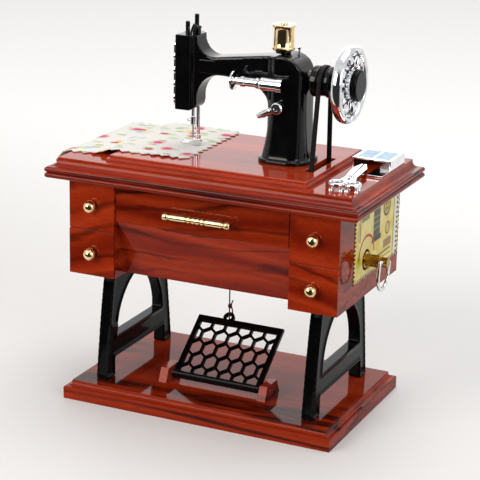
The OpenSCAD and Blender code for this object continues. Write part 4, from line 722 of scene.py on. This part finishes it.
# Inner pieces keep their CAD solids
inside = {
    "woodLong": ["cabinet_floor"],
    "blackSatin": ["base_cover", "lower_pulley"],
    "brass": ["arm_bushes", "spring_barrel", "tune_cylinder", "governor"],
    "steel": ["base_screws", "leg_screws", "treadle_rod", "needle_link", "needle", "arm_shaft", "crank_disc",
              "mainspring", "movement_frame", "cylinder_arbor", "comb"],
    "panel": ["sewing_box_panels"],
}
for finish, group in inside.items():
    for name in group:
        settle(nodes[name], finish)
print("inner pieces finished")


# Turned piece: a short bar whose ends are drawn out, step by step, to the reaches of a lathe profile
def makeTurned(setup):
    along = Vector(setup["along"])
    centre = Vector(setup["centre"]) * mm
    lie = Vector((0, 0, 1)).rotation_difference(along).to_euler()
    piece = startPiece(bpy.ops.mesh.primitive_cylinder_add, vertices=roundSides, radius=setup["reach"] * mm,
                       depth=setup["length"] * mm, location=centre, rotation=lie)
    for way, steps in [(1, setup["steps"]), (-1, setup["backSteps"])]:
        # Only an end has more than four corners
        pickFaces(piece, lambda face: face.normal.dot(along) * way > squareOn and len(face.vertices) > 4)
        last = setup["reach"]
        for rise, reach in steps:
            bpy.ops.mesh.extrude_region_move(TRANSFORM_OT_translate={"value": along * way * rise * mm})
            grow = reach / last
            stretch = [1 if axis else grow for axis in setup["along"]]
            bpy.ops.transform.resize(value=stretch, center_override=centre)
            last = reach
    bpy.ops.object.mode_set(mode="OBJECT")
    return piece


# Thread spool: a straight barrel with short flared ends, a knob on top and a bore for its pin
spoolSetup = {"along": (0, 0, 1), "centre": (*spoolAxis, 192.65), "reach": 5.15, "length": 7.9,
              "steps": [(0.7, 5.35), (0.6, 5.8), (0.4, 6.1), (0.5, 6.1), (0.3, 5.8), (0.0, 1.9), (0.7, 1.7)],
              "backSteps": [(0.5, 5.35), (0.4, 5.8), (0.8, 5.9), (0.6, 5.3), (0.0, 1.5), (-10.7, 1.5)]}
spool = makeTurned(spoolSetup)
finishPiece(spool, "spoolBody", "gold", "spool")
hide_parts("thread_spool")

# Drawer handle's bar: beads in the middle, a plain length each side and a ball end
beads = [(0.25, 1.85), (1.3, 1.85), (0.25, 1.0), (0.7, 1.0)] * 2
plainBar = [(0.3, 1.8), (8.4, 1.8), (0.3, 1.2), (0.7, 1.2)]
ballEnd = [(0.4, 1.7), (0.4, 1.95), (1.9, 1.95), (0.4, 1.7), (0.4, 1.1)]
barHalf = beads + plainBar + ballEnd
handleSetup = {"along": (1, 0, 0), "centre": (0, -45.6, 106.7), "reach": 1.0, "length": 0.6,
               "steps": barHalf, "backSteps": barHalf}
finishPiece(makeTurned(handleSetup), "handleBar", "paleGold", "stand")


# Scissors' finger rings: a thick ring on four turned pegs
fingerSetup = {"centre": (75.12, -30.53, 131.5), "reach": 3.5, "thick": 0.95, "tall": 1.2,
               "pegTurns": (52, 142, 232, 322), "pegMiddle": 129.8, "apart": (-7.64, -0.94, 0),
               "peg": {"along": (0, 0, 1), "reach": 0.75, "length": 1.2, "steps": [(0.4, 0.95), (0.5, 0.95)],
                       "backSteps": [(0.4, 1.0), (0.5, 1.0)]}}


def makeFingerRings(setup):
    across, back = setup["centre"][:2]
    centre = Vector(setup["centre"]) * mm
    ring = startPiece(bpy.ops.mesh.primitive_torus_add, major_segments=64, minor_segments=16,
                      major_radius=setup["reach"] * mm, minor_radius=setup["thick"] * mm, location=centre)
    stretchAll((1, 1, setup["tall"]), centre)
    bpy.ops.object.mode_set(mode="OBJECT")
    pegs = []
    for turn in setup["pegTurns"]:
        side = across + setup["reach"] * math.cos(math.radians(turn))
        deep = back + setup["reach"] * math.sin(math.radians(turn))
        pegs.append(makeTurned({**setup["peg"], "centre": (side, deep, setup["pegMiddle"])}))
    onlySelect(ring)
    for peg in pegs:
        peg.select_set(True)
    bpy.ops.object.join()
    finishPiece(ring, "fingerRingRight", "chrome", "stand")
    other = ring.copy()
    other.data = ring.data.copy()
    scene.collection.objects.link(other)
    onlySelect(other)
    other.location = Vector(setup["apart"]) * mm
    finishPiece(other, "fingerRingLeft", "chrome", "stand")


makeFingerRings(fingerSetup)
print("turned pieces made")


# Hand wheel: a polished ring round a sunk web, with a hub behind and a seat for the cap in front
wheelSetup = {"middle": 59.8, "ringReach": 17.6, "ringWide": 1.7, "ringDeep": 2.9,
              "webBack": 58.4, "webFront": 60.2, "webReach": 16.3, "hubReach": 5.4, "hubBack": 57.0,
              "seatReach": 7.9, "seatFront": 62.6, "draft": 0.3}


def makeWheelRing(setup):
    centre = Vector((setup["middle"], *wheelAxis)) * mm
    ring = startPiece(bpy.ops.mesh.primitive_torus_add, major_segments=128, minor_segments=32,
                      major_radius=setup["ringReach"] * mm, minor_radius=setup["ringWide"] * mm,
                      location=centre, rotation=alongX)
    stretchAll((setup["ringDeep"] / setup["ringWide"], 1, 1), centre)
    finishPiece(ring, "wheelRing", "chrome", "wheel")
    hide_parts("hand_wheel")


def makeWheelWeb(setup):
    centre = Vector(((setup["webBack"] + setup["webFront"]) / 2, *wheelAxis)) * mm
    web = startPiece(bpy.ops.mesh.primitive_cylinder_add, vertices=roundSides, radius=setup["webReach"] * mm,
                     depth=(setup["webFront"] - setup["webBack"]) * mm, location=centre, rotation=alongX)
    rises = [(1, setup["seatReach"], setup["seatFront"] - setup["webFront"]),
             (-1, setup["hubReach"], setup["webBack"] - setup["hubBack"])]
    for way, reach, rise in rises:
        pickFaces(web, lambda face: face.normal.x * way > squareOn)
        bpy.ops.mesh.inset(thickness=(setup["webReach"] - reach) * mm)
        bpy.ops.mesh.inset(thickness=setup["draft"] * mm, depth=rise * mm)
    finishPiece(web, "wheelWeb", "chrome", "wheel")


# Hand wheel's cast ornament: leaves and buds raised round the recess between rim and cap
reliefSetup = {"x": 60.3, "outer": 16.0, "rings": (1.3, 2.3, 2.3, 1.9), "count": 8,
               "leaves": [{"rings": (10.3, 14.5), "share": (0.1, 0.52), "rise": 1.6, "draft": 0.45},
                          {"rings": (8.4, 12.3), "share": (0.64, 0.94), "rise": 1.3, "draft": 0.35},
                          {"rings": (14.8, 16.0), "share": (0.6, 0.98), "rise": 1.2, "draft": 0.25}]}


# Whether a face of the flat disc lies in one of a leaf's places round the wheel
def inLeaf(face, leaf, centre, count):
    out = face.center - centre
    near, far = leaf["rings"]
    start, end = leaf["share"]
    turn = (math.atan2(out.z, out.y) / math.tau * count) % 1
    isFlat = len(face.vertices) == 4 and abs(out.x) < 1e-6
    return isFlat and near < math.hypot(out.y, out.z) / mm < far and start < turn < end


def makeRelief(setup):
    centre = Vector((setup["x"], *wheelAxis)) * mm
    relief = startPiece(bpy.ops.mesh.primitive_circle_add, vertices=roundSides, radius=setup["outer"] * mm,
                        fill_type="NGON", location=centre, rotation=alongX)
    pickFaces(relief, lambda face: True)
    for ring in setup["rings"]:
        bpy.ops.mesh.inset(thickness=ring * mm)
    for leaf in setup["leaves"]:
        pickFaces(relief, lambda face: inLeaf(face, leaf, centre, setup["count"]))
        bpy.ops.mesh.inset(thickness=leaf["draft"] * mm, depth=leaf["rise"] * mm)
    bpy.ops.object.mode_set(mode="OBJECT")
    reshape(relief, "SUBSURF", levels=2)
    finishPiece(relief, "wheelRelief", "relief", "wheel")


makeWheelRing(wheelSetup)
makeWheelWeb(wheelSetup)
makeRelief(reliefSetup)
print("wheel made")


# Winding stem's fluted grip, between the side label and the key
gripSetup = {"start": 74.7, "end": 81.6, "reach": 3.15, "flutes": 14, "edge": 0.12, "depth": 0.3,
             "ease": 0.25}


def makeGrip(setup):
    sides = setup["flutes"] * 2
    centre = Vector(((setup["start"] + setup["end"]) / 2, *stemAxis)) * mm
    grip = startPiece(bpy.ops.mesh.primitive_cylinder_add, vertices=sides, radius=setup["reach"] * mm,
                      depth=(setup["end"] - setup["start"]) * mm, location=centre, rotation=alongX)

    # Every second side is a flute
    def isFlute(face):
        out = face.center - centre
        turn = round(math.atan2(out.z, out.y) / math.tau * sides - 0.5)
        return abs(face.normal.x) < squareOn and turn % 2 == 0

    pickFaces(grip, isFlute)
    bpy.ops.mesh.inset(thickness=setup["edge"] * mm, depth=-setup["depth"] * mm, use_individual=True)
    pickFaces(grip, lambda face: abs(face.normal.x) > squareOn)
    bpy.ops.mesh.inset(thickness=setup["ease"] * mm, depth=setup["ease"] * mm)
    finishPiece(grip, "stemGrip", "brass", "stem")


# Arm's cast ornament: three ribs along the head's sweep, and a raised panel where the arm leaves the head
ribSetup = {"centre": (-11.3, -5.75, 189.1), "thick": 0.5, "sides": 14, "steps": 18,
            "ribs": {"headRibInner": {"reach": 10.9, "start": -172, "end": -130},
                     "headRibMiddle": {"reach": 12.5, "start": -168, "end": -124},
                     "headRibOuter": {"reach": 14.1, "start": -158, "end": -118}}}
panelSetup = {"centre": (-14.6, -5.7, 174.9), "size": (8.8, 1.0, 7.0), "ease": 0.45}


def makeRib(name, sweep, setup):
    middle = Vector(setup["centre"]) * mm
    turn = math.radians(sweep["start"])
    place = middle + Vector((math.cos(turn), 0, math.sin(turn))) * sweep["reach"] * mm
    rib = startPiece(bpy.ops.mesh.primitive_circle_add, vertices=setup["sides"], radius=setup["thick"] * mm,
                     fill_type="NGON", location=place, rotation=(0, -turn, 0))
    bpy.ops.object.mode_set(mode="EDIT")
    bpy.ops.mesh.select_all(action="SELECT")
    bpy.ops.mesh.spin(steps=setup["steps"], angle=math.radians(sweep["end"] - sweep["start"]), center=middle,
                      axis=(0, -1, 0))
    bpy.ops.mesh.select_all(action="SELECT")
    bpy.ops.mesh.remove_doubles(threshold=1e-7)
    bpy.ops.mesh.fill_holes(sides=20)
    bpy.ops.mesh.normals_make_consistent(inside=False)
    finishPiece(rib, name, "black", "stand")


def makePanel(setup):
    centre = Vector(setup["centre"]) * mm
    panel = startPiece(bpy.ops.mesh.primitive_cube_add, size=mm, location=centre)
    stretchAll(setup["size"], centre)
    bpy.ops.mesh.bevel(offset=setup["ease"] * mm, segments=3)
    finishPiece(panel, "armPanel", "black", "stand")


makeGrip(gripSetup)
for ribName, ribSweep in ribSetup["ribs"].items():
    makeRib(ribName, ribSweep, ribSetup)
makePanel(panelSetup)
print("ornament made")


# Studio, in metres. The pale sweep starts in front of the object. It glows towards its far end for the camera
# and for mirrors, and lights nothing by that
floorSetup = {"colour": "#dcdad8", "size": 6.0, "front": 0.122, "near": 0.1, "far": 0.55, "nearGlow": 0.1,
              "farGlow": 0.3}


def makeFloor(setup):
    turn = math.radians(cameraSetup["azimuth"])
    away = setup["size"] / 2 - setup["front"]
    floor = startPiece(bpy.ops.mesh.primitive_plane_add, size=setup["size"], rotation=(0, 0, turn),
                       location=(-away * math.sin(turn), away * math.cos(turn), 0))
    floor.name = "floor"
    material, tree, shader = startFinish("paleFloor", Base_Color=linear(setup["colour"]), Roughness=0.6,
                                         Emission_Color=(1, 1, 1, 1))
    place = addNode(tree, "TexCoord")
    parts = addNode(tree, "SeparateXYZ", None, {"Vector": (place, "Object")})
    glow = addNode(tree, "MapRange",
                   {"interpolation_type": "SMOOTHSTEP", "From Min": setup["near"], "From Max": setup["far"],
                    "To Min": setup["nearGlow"], "To Max": setup["farGlow"]}, {"Value": (parts, "Y")})
    ray = addNode(tree, "LightPath")
    shown = addNode(tree, "Math", {"operation": "MAXIMUM"},
                    {0: (ray, "Is Camera Ray"), 1: (ray, "Is Glossy Ray")})
    lift = addNode(tree, "Math", {"operation": "MULTIPLY"},
                   {0: (glow, "Result"), 1: (shown, "Value")})
    linkUp(tree, shader, {"Emission Strength": (lift, "Value")})
    floor.data.materials.append(material)


# Soft lamps, all turned to the middle of the object
lampAim = (0, 0, 0.1)
lamps = {"keyLamp": {"place": (-0.75, -1.25, 0.75), "size": 0.9, "power": 15.0, "colour": "#fff8f0"},
         "fillLamp": {"place": (1.3, -0.7, 0.7), "size": 0.9, "power": 7.0, "colour": "#f6f9ff"},
         "topLamp": {"place": (0.1, 0.35, 1.5), "size": 1.2, "power": 12.5, "colour": "#ffffff"}}


def makeLamp(name, setup):
    data = bpy.data.lights.new(name, "AREA")
    data.energy = setup["power"]
    data.size = setup["size"]
    data.color = linear(setup["colour"])[:3]
    lamp = bpy.data.objects.new(name, data)
    scene.collection.objects.link(lamp)
    lamp.location = setup["place"]
    lamp.rotation_euler = (Vector(lampAim) - lamp.location).to_track_quat("-Z", "Y").to_euler()


# White surround. Plating mirrors the dark of the room behind the camera, and level tops mirror a lit wall
# behind the object
surround = {"light": 0.34, "seen": 0.86,
            "sides": [{"way": (0.0, -0.98, -0.2), "from": 0.4, "to": 0.75, "away": 0.8, "facing": 0.03},
                      {"way": (-0.398, 0.868, 0.297), "from": 0.78, "to": 0.95, "away": 0.0, "facing": 0.8}]}


def makeSurround(setup):
    world = bpy.data.worlds.new("studio")
    world.use_nodes = True
    scene.world = world
    tree = world.node_tree
    sky = tree.nodes["Background"]
    sky.inputs["Color"].default_value = (1, 1, 1, 1)
    ray = addNode(tree, "LightPath")
    way = addNode(tree, "TexCoord")
    levels = []
    for side in setup["sides"]:
        facing = addNode(tree, "VectorMath", {"operation": "DOT_PRODUCT", 1: side["way"]},
                         {0: (way, "Generated")})
        levels.append(addNode(tree, "MapRange",
                              {"interpolation_type": "SMOOTHSTEP", "From Min": side["from"],
                               "From Max": side["to"], "To Min": side["away"], "To Max": side["facing"]},
                              {"Value": (facing, "Value")}))
    room, wall = levels
    around = addNode(tree, "Math", {"operation": "ADD"}, {0: (room, "Result"), 1: (wall, "Result")})
    glossy = addNode(tree, "Mix", {2: setup["light"]},
                     {0: (ray, "Is Glossy Ray"), 3: (around, "Value")})
    level = addNode(tree, "Mix", {3: setup["seen"]}, {0: (ray, "Is Camera Ray"), 2: (glossy, 0)})
    linkUp(tree, sky, {"Strength": (level, 0)})


makeFloor(floorSetup)
for lampName, lampSetup in lamps.items():
    makeLamp(lampName, lampSetup)
makeSurround(surround)
scene.view_settings.view_transform = "Standard"
print("studio lit")
